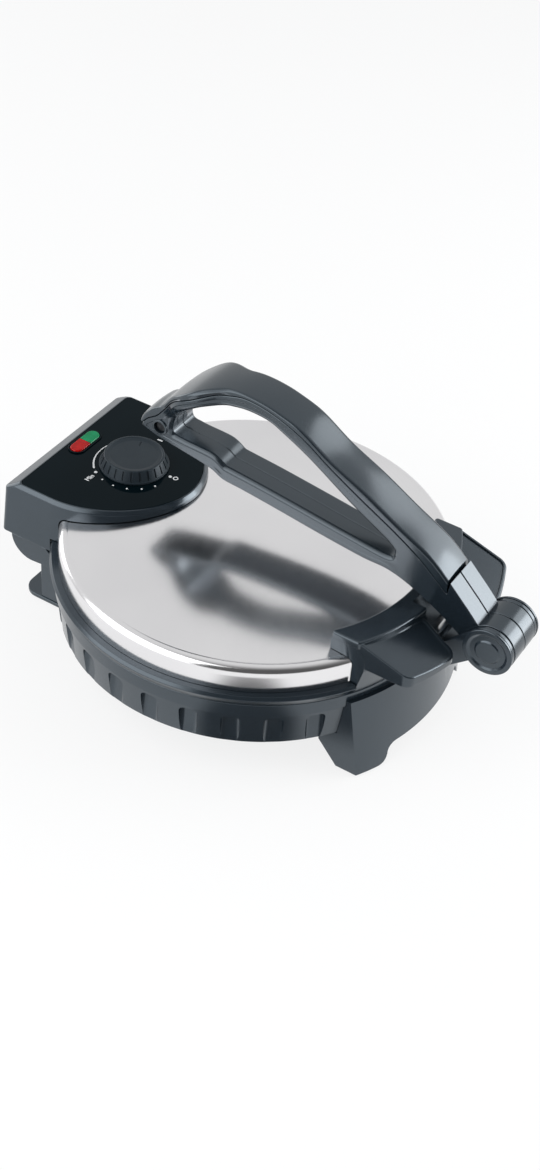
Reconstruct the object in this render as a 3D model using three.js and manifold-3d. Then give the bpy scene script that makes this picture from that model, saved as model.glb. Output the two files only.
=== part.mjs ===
// Electric roti maker: two round heated plates in a hinged clamshell, pressed shut by a long lever.
// Millimetres, +Z up, table at z = 0. The front, with the lever's pivot, looks towards -Y.

import * as THREE from 'three';
import Module from 'manifold-3d';
import { mergeVertices } from 'three/addons/utils/BufferGeometryUtils.js';

// Fits shared by all pieces
const seatGap = 0.3;
const runGap = 0.5;
const overrun = 5;
const weldTolerance = 0.0001;
const roundSteps = 72;
const smallSteps = 16;

// Cooking plates: ten inch discs, closed to a thin gap
const plateRadius = 127;
const plateThick = 5;
const plateRim = 1.5;
const plateSpace = 1.2;
const lowerPlateTop = 68.6;
const upperPlateBottom = lowerPlateTop + plateSpace;
const upperPlateTop = upperPlateBottom + plateThick;
const lowerPlateBottom = lowerPlateTop - plateThick;

// Steel dome over the lid
const domeReach = 8;
const domeRadius = plateRadius + domeReach;
const domeWall = 0.8;
const domeSeat = 2.9;
const domeSide = 18.9;
const domeShoulderRound = 7;
const domeCrown = 7.4;
const domeBottom = upperPlateTop + domeSeat;
const domeShoulderTop = domeBottom + domeSide;
const domeTop = domeShoulderTop + domeCrown;

// Plastic ring that carries the dome
const ringReach = 6;
const ringUndercut = 2.8;
const ringClear = 0.7;
const ringFlare = 5.7;
const ringChamfer = 1.6;
const ringPlateGap = 1.3;
const flangeUnderlap = 9.5;
const ringUpstand = 5.5;
const ringUpstandWall = 2;
const ringOuter = domeRadius + ringReach;
const ringLowerRadius = ringOuter - ringUndercut;
const ringBottom = lowerPlateTop + ringClear;
const ringWidest = ringBottom + ringFlare;
const ringTop = domeBottom - seatGap;
const ringInner = plateRadius + ringPlateGap;
const ringFlangeInner = plateRadius - flangeUnderlap;

// Base tub with grooved wall
const tubPlateGap = 1.6;
const tubCollarWall = 9.4;
const tubCollarTall = 11;
const tubCollarStep = 1;
const tubSkirtTall = 26.5;
const tubDraft = 2.5;
const tubLedgeThick = 3;
const tubTop = ringBottom - seatGap;
const tubInner = plateRadius + tubPlateGap;
const tubCollarRadius = tubInner + tubCollarWall;
const tubCollarBottom = tubTop - tubCollarTall;
const tubWallTopRadius = tubCollarRadius - tubCollarStep;
const tubBottomRadius = tubWallTopRadius - tubDraft;
const tubBottom = tubCollarBottom - tubSkirtTall;
const tubLedgeInner = ringFlangeInner;
const tubLedgeTop = lowerPlateBottom - seatGap;
const grooveWidth = 13;
const grooveFloorWall = 3.2;
const grooveLid = 2.5;
const grooveTop = tubCollarBottom - grooveLid;
const grooveFloorRadius = tubInner + grooveFloorWall;
const grooveFirstAngle = 40.5;
const grooveStepAngle = 11.7;
const grooveCountPerSide = 9;

// Bottom cover with its posts and screws
const coverInset = 2;
const coverThick = 2.5;
const coverBottom = tubBottom + coverInset;
const coverRadius = tubInner - seatGap;
const coverTop = coverBottom + coverThick;
const screwInset = 4;
const postRadius = 5;
const postCircle = tubLedgeInner + screwInset;
const postAngles = [45, 135, 225, 315];
const coverScrewHead = 4;
const coverScrewHeadTall = 1.8;
const screwShank = 1.6;
const screwHole = screwShank + seatGap;
const coverScrewReach = 12;

// Screws that hold the plates
const plateScrewCircle = ringFlangeInner + screwInset;
const plateScrewHead = 3;
const plateScrewHeadTall = 2;
const plateScrewDepth = 3.5;
const plateScrewAngles = [0, 120, 240];

// Heaters and reflectors
const heaterCircle = 76;
const heaterTube = 3.6;
const heaterArcSteps = 30;
const heaterOpening = 0.9;
const heaterSides = 8;
const heaterMargin = 10;
const reflectorRadius = heaterCircle + heaterMargin;
const reflectorWall = 0.8;
const reflectorDeep = 11;
const reflectorCorner = 4;

// Hinge between base and lid, as wide as the control panel above it
const panelSide = 64;
const cheekProud = 2;
const hingeBehind = 2;
const hingeDrop = 9;
const hingeY = ringOuter + hingeBehind;
const hingeZ = tubTop - hingeDrop;
const hingePinRadius = 3.5;
const cheekOuter = panelSide + cheekProud;
const cheekThick = 9.5;
const cheekInner = cheekOuter - cheekThick;
const cheekRadius = 19.5;
const cheekLift = 2;
const hingeBoss = 8.5;
const earWidth = 12;
const earOuter = cheekInner - runGap;
const earInner = earOuter - earWidth;
const pinEndWall = 3;
const hingePlateStep = 4;

// Rear bracket with its two legs
const legOuter = cheekInner - runGap;
const legWidth = 24;
const legDepth = 33;
const legInner = legOuter - legWidth;
const legRear = hingeY;
const legFront = legRear - legDepth;
const crossbarDrop = 9.5;
const crossbarTall = 12.5;
const crossbarBehind = 9;
const crossbarTop = hingeZ - crossbarDrop;
const crossbarBottom = crossbarTop - crossbarTall;
const crossbarRear = hingeY + crossbarBehind;
const flangeGrow = 1;
const flangeBehind = 17;
const flangeTall = 3.2;
const flangeRound = 12;
const flangeOuter = legOuter + flangeGrow;
const flangeRear = legRear + flangeBehind;
const padThick = 1.5;
const padInset = 4;
const soleHeight = padThick + seatGap;
const flangeTop = soleHeight + flangeTall;

// Front stand: conical apron with two feet
const standReach = 3;
const standFlare = 9.4;
const standDrop = 6;
const standLowerEdge = 16;
const standWall = 2.4;
const standTop = tubTop - standDrop;
const standTopRadius = tubCollarRadius + standReach;
const standFootRadius = standTopRadius + standFlare;
const footOuter = 74;
const footWidth = 24;
const footInner = footOuter - footWidth;
const footCornerRound = 8;
const footArchRound = 8;
const footLong = 35.4;
const footLean = 15;
const footKnee = 19;
const footRearBottom = standFootRadius - footLong;
const footRearTop = footRearBottom - footLean;
const frontPadTaper = 25;
const frontPadCut = 8.5;

// Lever pivot
const pivotReach = 43.2;
const pivotDrop = 2;
const pivotOut = ringOuter + pivotReach;
const pivotY = -pivotOut;
const pivotZ = domeTop - pivotDrop;
const barrelRadius = 17.3;
const barrelTopAngle = 0.87;
const barrelSweepAngle = 5.08;
const pivotPinRadius = 4;

// Lever
const leverHalfWidth = 14.5;
const leverLength = 272.7;
const leverRise = 112.7;
const leverSeam = 0.15;
const coverLift = 0.45;
const gripSpread = 9;
const leverScrewHead = 3.4;
const leverScrewHeadTall = 2;
const leverScrewRecess = 4.4;
const leverScrewRecessDeep = 3.5;
const leverScrewReach = 9;

// Bracket that carries the lever, rooted in the stand's notch
const bracketInner = leverHalfWidth + runGap;
const bracketWall = 3;
const bracketOuter = bracketInner + bracketWall;
const bracketHeadRadius = 17;
const bracketNotchSide = bracketOuter + seatGap;
const armRootReach = 1;
const armRootDrop = 4;
const armRootRise = 3;
const armShoulder = 6.5;
const armShoulderRise = 5;
const armRoot = tubCollarRadius + armRootReach;
const armRootBottom = standTop - armRootDrop;
const armRootTop = standTop + armRootRise;
const armRear = armRoot + armShoulder;
const armRearLow = armRootTop + armShoulderRise;
const armRearDrop = 15;
const armRearHigh = pivotZ - armRearDrop;
const armBendReach = 19;
const armBendRise = 11;
const armLowerBendOut = armRoot + armBendReach;
const armLowerBendHigh = standTop + armBendRise;
const armHeadBack = 12.2;
const armHeadDrop = 15.5;
const armHeadOut = pivotOut - armHeadBack;
const armHeadLow = pivotZ - armHeadDrop;
const armUpperBack = 28.7;
const armUpperDrop = 6.5;
const armUpperOut = pivotOut - armUpperBack;
const armUpperHigh = pivotZ - armUpperDrop;
const webFrontBack = 20.2;
const webFrontDrop = 16;
const webFrontOut = pivotOut - webFrontBack;
const webFrontHigh = pivotZ - webFrontDrop;
const webTopReach = 4.5;
const webTopRise = 2;
const webTopOut = armRear + webTopReach;
const webTopHigh = armRearHigh + webTopRise;
const armHeadLowAngle = 0.98;
const armHeadHighAngle = 5.33;
const pivotCapRadius = 17.3;
const pivotCapThick = 2;
const capRingOuter = 12.5;
const capRingInner = 9;
const capRingDeep = 0.9;

// Front handle on the lid, with a thumb rest on each side of the lever
const handleSide = 71;
const handleRise = 15.9;
const handleOverlap = 14.7;
const handleFrontWall = 3.5;
const handleSkirtWall = 7.4;
const handleSkirtDrop = 12.5;
const handleFlare = 12.6;
const handleLedge = 5.1;
const handleFit = 0.4;
const handleEdge = 1.2;
const handleTop = domeShoulderTop + handleRise;
const handleInnerRadius = domeRadius - handleOverlap;
const handleFrontRadius = domeRadius + handleFrontWall;
const handleSkirtRadius = domeRadius + handleSkirtWall;
const handleSkirtTop = handleTop - handleSkirtDrop;
const handleSkirtLow = ringTop + handleFlare;
const handleFootRadius = ringLowerRadius;
const handleLedgeRadius = ringLowerRadius - handleLedge;
const notchGap = 1.5;
const notchDeep = 12.5;
const notchOverlap = 7;
const notchSide = leverHalfWidth + notchGap;
const notchRadius = domeRadius - notchOverlap;
const notchFloor = handleTop - notchDeep;
const restInset = 1;
const restReach = 27.6;
const restThick = 20.5;
const restTopDrop = 1.5;
const restTopInset = 0.7;
const restSlope = 0.2985;
const restSlotGap = 0.6;
const restSlotGrow = 6.4;
const restSlotInset = 1.4;
const restRound = 8;
const restWall = 3;
const restPocketDeep = 4.5;
const restRootInset = 15.3;
const restSide = handleSide - restInset;
const restFront = handleSkirtRadius + restReach;
const restUnderside = handleTop - restThick;
const restTopRear = handleTop - restTopDrop;
const restTopRearY = handleInnerRadius + restTopInset;
const restSlotRear = bracketOuter + restSlotGap;
const restSlotFront = restSlotRear + restSlotGrow;
const restSlotRearY = handleSkirtRadius - restSlotInset;
const restPocketTop = restUnderside + restPocketDeep;
const restRootY = handleInnerRadius - restRootInset;

// Knob, its shaft and the thermostat
const knobInset = 38.5;
const knobY = ringOuter - knobInset;
const knobBase = 24.8;
const knobTop = 20;
const knobHeight = 9;
const knobDish = 1.2;
const knobDishRim = 1.6;
const knobDishRadius = knobTop - knobDishRim;
const knobFlutes = 24;
const knobFluteDeep = 0.8;
const knobSkirtTall = 1.6;
const shaftRadius = 3;
const shaftInKnob = 4.5;
const shaftInThermostat = 9;
const thermostatSide = 28;
const thermostatTall = 17;
const thermostatRoom = 6.5;

// Control housing and its panel
const panelStraightLong = 28;
const panelBehindKnob = 50.5;
const panelNose = 23.7;
const panelRise = 4.3;
const panelCurvePower = 1.85;
const panelThick = 2;
const panelFloor = 2.6;
const panelRear = knobY + panelBehindKnob;
const panelStraight = panelRear - panelStraightLong;
const panelFront = knobY - knobBase - panelNose;
const panelTop = domeTop + panelRise;
const housingLipGrow = 0.9;
const housingBevelSide = 2.4;
const housingBevelRear = 11.2;
const housingBevelTall = 6.3;
const housingRise = 8;
const housingFootSide = 8;
const housingFootFront = 4;
const housingWall = 2.6;
const housingCornerRound = 4;
const housingCurveSteps = 14;
const housingBevelLow = panelTop - housingBevelTall;
const housingFootLow = hingeZ + housingRise;
const housingCavityFront = knobY - thermostatSide / 2 - thermostatRoom;
const domeCutInset = 7;
const domeCutSetback = 2;
const domeCutSide = panelSide - domeCutInset;
const domeCutFront = housingCavityFront + domeCutSetback;

// Indicator lights
const lensSetback = 8;
const lensY = panelRear - lensSetback;
const lensHalfLength = 14;
const lensHalfWidth = 5;
const lensRise = 1.7;
const lensTop = panelTop + lensRise;
const lensFoot = 1;
const lensSeam = 0.15;
const bezelWall = 1.2;
const bezelTall = 0.8;
const bezelTop = panelTop + seatGap + bezelTall;
const lampRadius = 3;
const lampTall = 9;

// Cord inlet
const inletRadius = 5;
const inletBore = 3.6;
const inletFlange = 8;
const inletFlangeThick = 3;
const inletRise = 6.5;
const inletOverhang = 2.1;
const inletZ = crossbarBottom + inletRise;
const inletInside = tubInner - inletOverhang;

// Finishes
const finishes = {
  moulded: { color: 0x2b333b, roughness: 0.42, metalness: 0 },
  lever: { color: 0x323a43, roughness: 0.36, metalness: 0 },
  gloss: { color: 0x10181d, roughness: 0.12, metalness: 0 },
  steel: { color: 0xc9cacd, roughness: 0.28, metalness: 1 },
  nonstick: { color: 0x35363a, roughness: 0.5, metalness: 0.3 },
  heater: { color: 0x8a8d90, roughness: 0.45, metalness: 0.9 },
  zinc: { color: 0xaeb1b4, roughness: 0.35, metalness: 1 },
  rubber: { color: 0x17191b, roughness: 0.85, metalness: 0 },
  knob: { color: 0x3c444c, roughness: 0.45, metalness: 0 },
  red: { color: 0xc02424, roughness: 0.2, metalness: 0 },
  green: { color: 0x0a9a5a, roughness: 0.2, metalness: 0 },
  lamp: { color: 0xe8e4da, roughness: 0.15, metalness: 0 },
};

// Joining and cutting of closed meshes
const wasm = await Module();
wasm.setup();

function signedVolume(positions, indices) {
  const a = new THREE.Vector3();
  const b = new THREE.Vector3();
  const c = new THREE.Vector3();
  let sum = 0;
  for (let i = 0; i < indices.length; i += 3) {
    a.fromArray(positions, indices[i] * 3);
    b.fromArray(positions, indices[i + 1] * 3);
    c.fromArray(positions, indices[i + 2] * 3);
    sum += a.dot(b.cross(c));
  }
  return sum;
}

function toSolid(geometry) {
  const bare = geometry.clone();
  bare.deleteAttribute('normal');
  bare.deleteAttribute('uv');
  const merged = mergeVertices(bare, weldTolerance);
  const positions = Float32Array.from(merged.attributes.position.array);
  const kept = [];
  for (let i = 0; i < merged.index.count; i += 3) {
    const [a, b, c] = [0, 1, 2].map((corner) => merged.index.getX(i + corner));
    if (a !== b && b !== c && c !== a) kept.push(a, b, c);
  }
  if (signedVolume(positions, kept) < 0) kept.reverse();
  return new wasm.Manifold(new wasm.Mesh({
    numProp: 3, vertProperties: positions, triVerts: Uint32Array.from(kept),
  }));
}

const asSolid = (item) => (item.isBufferGeometry ? toSolid(item) : item);
const join = (...items) => items.map(asSolid).reduce((sum, item) => sum.add(item));
const cut = (body, ...tools) => tools.map(asSolid).reduce((rest, tool) => rest.subtract(tool), asSolid(body));
const common = (...items) => items.map(asSolid).reduce((rest, item) => rest.intersect(item));

function toGeometry(solid) {
  const mesh = solid.getMesh();
  const geometry = new THREE.BufferGeometry();
  geometry.setAttribute('position', new THREE.BufferAttribute(Float32Array.from(mesh.vertProperties), 3));
  geometry.setIndex(new THREE.BufferAttribute(Uint32Array.from(mesh.triVerts), 1));
  geometry.computeVertexNormals();
  return geometry;
}

// Shapes
const radians = THREE.MathUtils.degToRad;
const pointOn = (radius, angle) => [radius * Math.cos(angle), radius * Math.sin(angle)];

function arc(centreU, centreV, radius, start, sweep, steps) {
  const points = [];
  for (let i = 0; i <= steps; i += 1) {
    const [u, v] = pointOn(radius, start + (sweep * i) / steps);
    points.push([centreU + u, centreV + v]);
  }
  return points;
}

function turned(profile, steps = roundSteps) {
  const points = profile.map(([r, z]) => new THREE.Vector2(r, z));
  const onAxis = profile[0][0] === 0 && profile[profile.length - 1][0] === 0;
  if (!onAxis) points.push(points[0].clone());
  return new THREE.LatheGeometry(points, steps).rotateX(Math.PI / 2);
}

function extruded(outline, depth, holes = []) {
  const toVectors = (points) => points.map(([u, v]) => new THREE.Vector2(u, v));
  const shape = new THREE.Shape(toVectors(outline));
  shape.holes = holes.map((hole) => new THREE.Path(toVectors(hole)));
  return new THREE.ExtrudeGeometry(shape, { depth, bevelEnabled: false });
}

// Outline in X and Y, from one height to another
function slab(outline, low, high) {
  return extruded(outline, high - low).translate(0, 0, low);
}

// Outline in Y and Z, from one x to another
function sidePlate(outline, left, right, holes = []) {
  const turn = new THREE.Matrix4().makeBasis(
    new THREE.Vector3(0, 1, 0), new THREE.Vector3(0, 0, 1), new THREE.Vector3(1, 0, 0),
  );
  return extruded(outline, right - left, holes).applyMatrix4(turn).translate(left, 0, 0);
}

// Outline in X and Z, from a near distance towards -Y to a far one
function frontPlate(outline, near, far) {
  return extruded(outline, far - near).rotateX(Math.PI / 2).translate(0, -near, 0);
}

function box(left, right, front, rear, low, high) {
  return slab([[left, front], [right, front], [right, rear], [left, rear]], low, high);
}

function rod(radius, low, high, x = 0, y = 0, steps = smallSteps) {
  return new THREE.CylinderGeometry(radius, radius, high - low, steps)
    .rotateX(Math.PI / 2).translate(x, y, (low + high) / 2);
}

function crossRod(radius, left, right, y, z, steps = smallSteps) {
  return new THREE.CylinderGeometry(radius, radius, right - left, steps)
    .rotateZ(Math.PI / 2).translate((left + right) / 2, y, z);
}

const mirrored = (points) => points.map(([u, v]) => [-u, v]).reverse();
const aroundZ = (geometry, degrees) => geometry.clone().rotateZ(radians(degrees));

// Scene graph
const machine = new THREE.Group();

function addPiece(name, shape, finish) {
  const material = new THREE.MeshStandardMaterial(finishes[finish]);
  const mesh = new THREE.Mesh(toGeometry(asSolid(shape)), material);
  mesh.name = name;
  machine.add(mesh);
}

// Outer surface of the dome, from its bottom edge to the middle, grown by a clearance
function domeOutside(grow) {
  const shoulderCentre = domeRadius - domeShoulderRound;
  const shoulder = arc(shoulderCentre, domeShoulderTop - domeShoulderRound,
    domeShoulderRound + grow, 0, Math.PI / 2, 5);
  const crownShares = [0.84, 0.66, 0.46, 0.24];
  const crown = crownShares.map((share) => (
    [shoulderCentre * share, domeTop - domeCrown * share * share + grow]
  ));
  return [[domeRadius + grow, domeBottom], ...shoulder, ...crown, [0, domeTop + grow]];
}

function makeDome() {
  const outer = domeOutside(0);
  const inner = domeOutside(-domeWall).reverse();
  const shell = turned([...outer, ...inner]);
  const opening = housingOutline(domeCutSide, panelRear + overrun, domeCutFront);
  return cut(shell, slab(opening, tubTop, domeTop + overrun));
}

// Solid envelope of ring and dome, used to keep other lid pieces clear of them
function lidEnvelope(grow) {
  return turned([
    [0, tubBottom], [ringOuter + grow, tubBottom], [ringOuter + grow, ringTop + grow],
    [domeRadius + grow, ringTop + grow], ...domeOutside(grow),
  ]);
}

function makeRing() {
  const upstandOuter = domeRadius - domeWall - seatGap;
  const ring = turned([
    [ringInner, ringBottom], [ringLowerRadius, ringBottom], [ringOuter, ringWidest],
    [ringOuter - ringChamfer, ringTop], [upstandOuter, ringTop],
    [upstandOuter, ringTop + ringUpstand], [upstandOuter - ringUpstandWall, ringTop + ringUpstand],
    [upstandOuter - ringUpstandWall, ringTop], [ringFlangeInner, ringTop],
    [ringFlangeInner, upperPlateTop + seatGap], [ringInner, upperPlateTop + seatGap],
  ]);
  const handleRoom = cut(
    box(-handleSide - seatGap, handleSide + seatGap, -ringOuter - overrun, 0, ringBottom - overrun,
      ringTop + ringUpstand + overrun),
    rod(handleLedgeRadius - seatGap, tubBottom, handleTop, 0, 0, roundSteps),
  );
  const holes = plateScrewAngles.map((angle) => (
    aroundZ(rod(screwHole, upperPlateBottom, handleTop, 0, plateScrewCircle), angle)
  ));
  return cut(ring, handleRoom, ...holes);
}

// A cooking plate with a softened rim and blind screw holes in its back
function makePlate(low, high, backLow, backHigh) {
  const plate = turned([
    [0, low], [plateRadius - plateRim, low], [plateRadius, low + plateRim],
    [plateRadius, high - plateRim], [plateRadius - plateRim, high], [0, high],
  ]);
  const holes = plateScrewAngles.map((angle) => (
    aroundZ(rod(screwHole, backLow, backHigh, 0, plateScrewCircle), angle)
  ));
  return cut(plate, ...holes);
}

function makePlateScrew(headLow, headHigh, tipZ, angle) {
  const head = rod(plateScrewHead, headLow, headHigh, 0, plateScrewCircle, smallSteps);
  const inner = tipZ < headLow ? headLow + screwShank : headHigh - screwShank;
  const shank = rod(screwShank, Math.min(tipZ, inner), Math.max(tipZ, inner), 0, plateScrewCircle, smallSteps);
  return aroundZ(toGeometry(join(head, shank)), angle);
}

// A tubular heater bent into an open ring
function makeHeater(height) {
  const sweep = Math.PI * 2 - heaterOpening;
  const route = arc(0, 0, heaterCircle, Math.PI / 2 + heaterOpening / 2, sweep, heaterArcSteps)
    .map(([x, y]) => new THREE.Vector3(x, y, height));
  const section = new THREE.Shape(arc(0, 0, heaterTube, 0, Math.PI * 2, heaterSides)
    .slice(0, -1).map(([u, v]) => new THREE.Vector2(u, v)));
  return new THREE.ExtrudeGeometry(section, {
    steps: heaterArcSteps, bevelEnabled: false, extrudePath: new THREE.CatmullRomCurve3(route),
  });
}

// A pressed dish over a heater: its rim meets the plate, its floor lies behind the heater
function makeReflector(rimZ, direction) {
  const floor = rimZ + reflectorDeep * direction;
  const wall = reflectorWall * direction;
  return turned([
    [0, floor], [reflectorRadius - reflectorCorner, floor],
    [reflectorRadius, floor - reflectorCorner * direction], [reflectorRadius, rimZ],
    [reflectorRadius - reflectorWall, rimZ],
    [reflectorRadius - reflectorWall, floor - reflectorCorner * direction],
    [reflectorRadius - reflectorCorner, floor - wall], [0, floor - wall],
  ]);
}

function makeTub() {
  const shell = turned([
    [tubInner, tubBottom], [tubBottomRadius, tubBottom], [tubWallTopRadius, tubCollarBottom],
    [tubCollarRadius, tubCollarBottom], [tubCollarRadius, tubTop], [tubInner, tubTop],
    [tubInner, tubLedgeTop], [tubLedgeInner, tubLedgeTop],
    [tubLedgeInner, tubLedgeTop - tubLedgeThick], [tubInner, tubLedgeTop - tubLedgeThick],
  ]);
  const half = grooveWidth / 2;
  const pocketOutline = [
    [-half, tubBottom - overrun], [half, tubBottom - overrun],
    ...arc(0, grooveTop - half, half, 0, Math.PI, 6),
  ];
  const pocket = frontPlate(pocketOutline, grooveFloorRadius, tubCollarRadius + overrun);
  const pockets = [];
  for (let i = 0; i < grooveCountPerSide; i += 1) {
    const angle = grooveFirstAngle + grooveStepAngle * i;
    pockets.push(aroundZ(pocket, angle), aroundZ(pocket, -angle));
  }
  const holes = plateScrewAngles.map((angle) => (
    aroundZ(rod(screwHole, tubBottom, tubTop, 0, plateScrewCircle), angle)
  ));
  const inletHole = rod(inletRadius + seatGap, -ringOuter - overrun, -inletInside + overrun)
    .rotateX(Math.PI / 2).translate(0, 0, inletZ);
  return cut(shell, ...pockets, ...holes, inletHole);
}

function makeBottomCover() {
  const disc = rod(coverRadius, coverBottom, coverTop, 0, 0, roundSteps);
  const holes = postAngles.map((angle) => (
    aroundZ(rod(screwHole, coverBottom - overrun, coverTop + overrun, 0, postCircle), angle)
  ));
  return cut(disc, ...holes);
}

function makePost(angle) {
  const low = coverTop + seatGap;
  const high = tubLedgeTop - tubLedgeThick - seatGap;
  const post = rod(postRadius, low, high, 0, postCircle);
  const bore = rod(screwHole, low - overrun, low + coverScrewReach, 0, postCircle);
  return aroundZ(toGeometry(cut(post, bore)), angle);
}

function makeCoverScrew(angle) {
  const headTop = coverBottom - seatGap;
  const head = rod(coverScrewHead, headTop - coverScrewHeadTall, headTop, 0, postCircle);
  const shank = rod(screwShank, headTop - screwShank, coverTop + coverScrewReach - screwShank, 0, postCircle);
  return aroundZ(toGeometry(join(head, shank)), angle);
}

// Space taken by the tub, for pieces that lie against it
function tubEnvelope(grow) {
  return turned([
    [0, tubBottom - grow], [tubBottomRadius + grow, tubBottom - grow],
    [tubWallTopRadius + grow, tubCollarBottom - grow], [tubCollarRadius + grow, tubCollarBottom - grow],
    [tubCollarRadius + grow, tubTop + overrun], [0, tubTop + overrun],
  ]);
}

// One cheek of the hinge with the leg and flat foot under it, on the +X side
function makeRearSide() {
  const lowerHalf = box(cheekInner, cheekOuter, 0, flangeRear, hingeZ - cheekRadius - overrun,
    hingeZ + cheekLift);
  const cheek = common(crossRod(cheekRadius, cheekInner, cheekOuter, hingeY, hingeZ, 40), lowerHalf);
  const boss = crossRod(hingeBoss, cheekInner, cheekOuter, hingeY, hingeZ, 24);
  const leg = box(legInner, legOuter, legFront, legRear, soleHeight, crossbarTop);
  const cornerX = flangeOuter - flangeRound;
  const flange = slab([
    [legInner, legFront], [flangeOuter, legFront],
    ...arc(cornerX, flangeRear - flangeRound, flangeRound, 0, Math.PI / 2, 6),
    [legInner, flangeRear],
  ], soleHeight, flangeTop);
  return join(cheek, boss, leg, flange);
}

function makeRearBracket() {
  const right = makeRearSide();
  const left = toGeometry(right).rotateZ(Math.PI).scale(1, -1, 1);
  const crossbar = box(-cheekOuter, cheekOuter, legFront, crossbarRear, crossbarBottom, crossbarTop);
  const pinBore = crossRod(hingePinRadius + seatGap, -cheekOuter + pinEndWall, cheekOuter - pinEndWall,
    hingeY, hingeZ);
  const inletHole = rod(inletRadius + seatGap, -crossbarRear - overrun, -legFront + overrun)
    .rotateX(Math.PI / 2).translate(0, 0, inletZ);
  return cut(join(right, left, crossbar), tubEnvelope(seatGap), pinBore, inletHole);
}

function makeRearPad(side) {
  const cornerX = flangeOuter - flangeRound;
  const round = flangeRound - padInset;
  const outline = [
    [legInner + padInset, legRear - padInset], [flangeOuter - padInset, legRear - padInset],
    ...arc(cornerX, flangeRear - flangeRound, round, 0, Math.PI / 2, 5),
    [legInner + padInset, flangeRear - padInset],
  ];
  return slab(side > 0 ? outline : mirrored(outline), 0, padThick);
}

// Radius of the conical apron at a height
const standRadius = (height) => standFootRadius + (standTopRadius - standFootRadius) * (height / standTop);

function makeFrontStand() {
  const archX = footInner - footArchRound;
  const halfFront = [
    [archX, standLowerEdge],
    ...arc(archX, standLowerEdge - footArchRound, footArchRound, Math.PI / 2, -Math.PI / 2, 5).slice(1),
    ...arc(footInner + footCornerRound, soleHeight + footCornerRound, footCornerRound,
      Math.PI, Math.PI / 2, 5).slice(1),
    [footOuter, soleHeight], [footOuter, standTop],
  ];
  const front = frontPlate([...mirrored(halfFront), ...halfFront], footRearTop - overrun,
    standFootRadius + overrun);
  const reach = standFootRadius + overrun;
  const cone = turned([[0, 0], [standRadius(0), 0], [standTopRadius, standTop], [0, standTop]]);
  const hollow = turned([
    [0, -overrun], [standRadius(0) - standWall, -overrun], [standRadius(0) - standWall, 0],
    [standTopRadius - standWall, standTop], [standTopRadius - standWall, standTop + overrun],
    [0, standTop + overrun],
  ]);
  const apron = cut(common(cone, front), hollow);
  const footSide = [
    [-reach, soleHeight], [-footRearBottom, soleHeight], [-footRearTop, footKnee],
    [-footRearTop, standTop], [-reach, standTop],
  ];
  const feet = [-1, 1].map((side) => common(
    cone, front,
    sidePlate(footSide, side > 0 ? footInner : -footOuter, side > 0 ? footOuter : -footInner),
  ));
  const notch = box(-bracketNotchSide, bracketNotchSide, -reach, -armRoot + overrun,
    armRootBottom - seatGap - seatGap, standTop + overrun);
  return cut(join(apron, ...feet), tubEnvelope(seatGap), notch);
}

function makeFrontPad(side) {
  const outline = [
    [footInner + footCornerRound, -footRearBottom - padInset],
    [footOuter - padInset, -footRearBottom - padInset],
    [footOuter - padInset, -standFootRadius + frontPadTaper],
    [footInner + footCornerRound, -standFootRadius + frontPadTaper - frontPadCut],
  ];
  return slab(side > 0 ? outline : mirrored(outline), 0, padThick);
}

// Bracket that carries the lever: two cheeks round the barrel and a web between them
function makeLeverBracket() {
  const head = arc(pivotY, pivotZ, bracketHeadRadius, armHeadLowAngle, armHeadHighAngle - armHeadLowAngle, 20);
  const cheekOutline = [
    [-armRoot, armRootBottom], [-armRoot, armRootTop], [-armRear, armRearLow], [-armRear, armRearHigh],
    [-armUpperOut, armUpperHigh], ...head, [-armHeadOut, armHeadLow],
    [-armLowerBendOut, armLowerBendHigh],
  ];
  const webOutline = [
    [-armRoot, armRootBottom], [-armRoot, armRootTop], [-armRear, armRearLow], [-armRear, armRearHigh],
    [-webTopOut, webTopHigh], [-webFrontOut, webFrontHigh], [-armLowerBendOut, armLowerBendHigh],
  ];
  const cheeks = [-1, 1].map((side) => sidePlate(cheekOutline,
    side > 0 ? bracketInner : -bracketOuter, side > 0 ? bracketOuter : -bracketInner));
  const web = sidePlate(webOutline, -bracketInner - seatGap, bracketInner + seatGap);
  const bore = crossRod(pivotPinRadius + seatGap, -bracketOuter - overrun, bracketOuter + overrun,
    pivotY, pivotZ);
  return cut(join(...cheeks, web), bore, tubEnvelope(seatGap));
}

function makePivotCap(side) {
  const near = bracketOuter + seatGap;
  const cap = turned([
    [0, near], [pivotCapRadius, near], [pivotCapRadius, near + pivotCapThick],
    [capRingOuter, near + pivotCapThick], [capRingOuter, near + pivotCapThick - capRingDeep],
    [capRingInner, near + pivotCapThick - capRingDeep], [capRingInner, near + pivotCapThick],
    [0, near + pivotCapThick],
  ], 40);
  return cap.rotateY((side * Math.PI) / 2).translate(0, pivotY, pivotZ);
}

// Lever outlines as shares of the lever's length and rise, measured from the pivot
const seamShares = [
  [0.993, 0.512], [0.978, 0.556], [0.952, 0.601], [0.932, 0.661], [0.887, 0.8], [0.833, 0.878],
  [0.787, 0.9285], [0.757, 0.945], [0.703, 0.973], [0.63, 0.947], [0.545, 0.867], [0.468, 0.752],
  [0.377, 0.627], [0.281, 0.503], [0.212, 0.397], [0.131, 0.237],
];
const topShares = [
  [1.002, 0.528], [1, 0.553], [0.992, 0.586], [0.972, 0.639], [0.945, 0.684], [0.914, 0.784],
  [0.888, 0.844], [0.838, 0.931], [0.79, 0.978], [0.7286, 1.004], [0.667, 0.998], [0.6146, 0.9716],
  [0.555, 0.922], [0.472, 0.798], [0.377, 0.689], [0.285, 0.565], [0.19, 0.4455], [0.1346, 0.335],
];
const shoulderShares = [[0.127, 0.323], [0.07, 0.19]];
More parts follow.
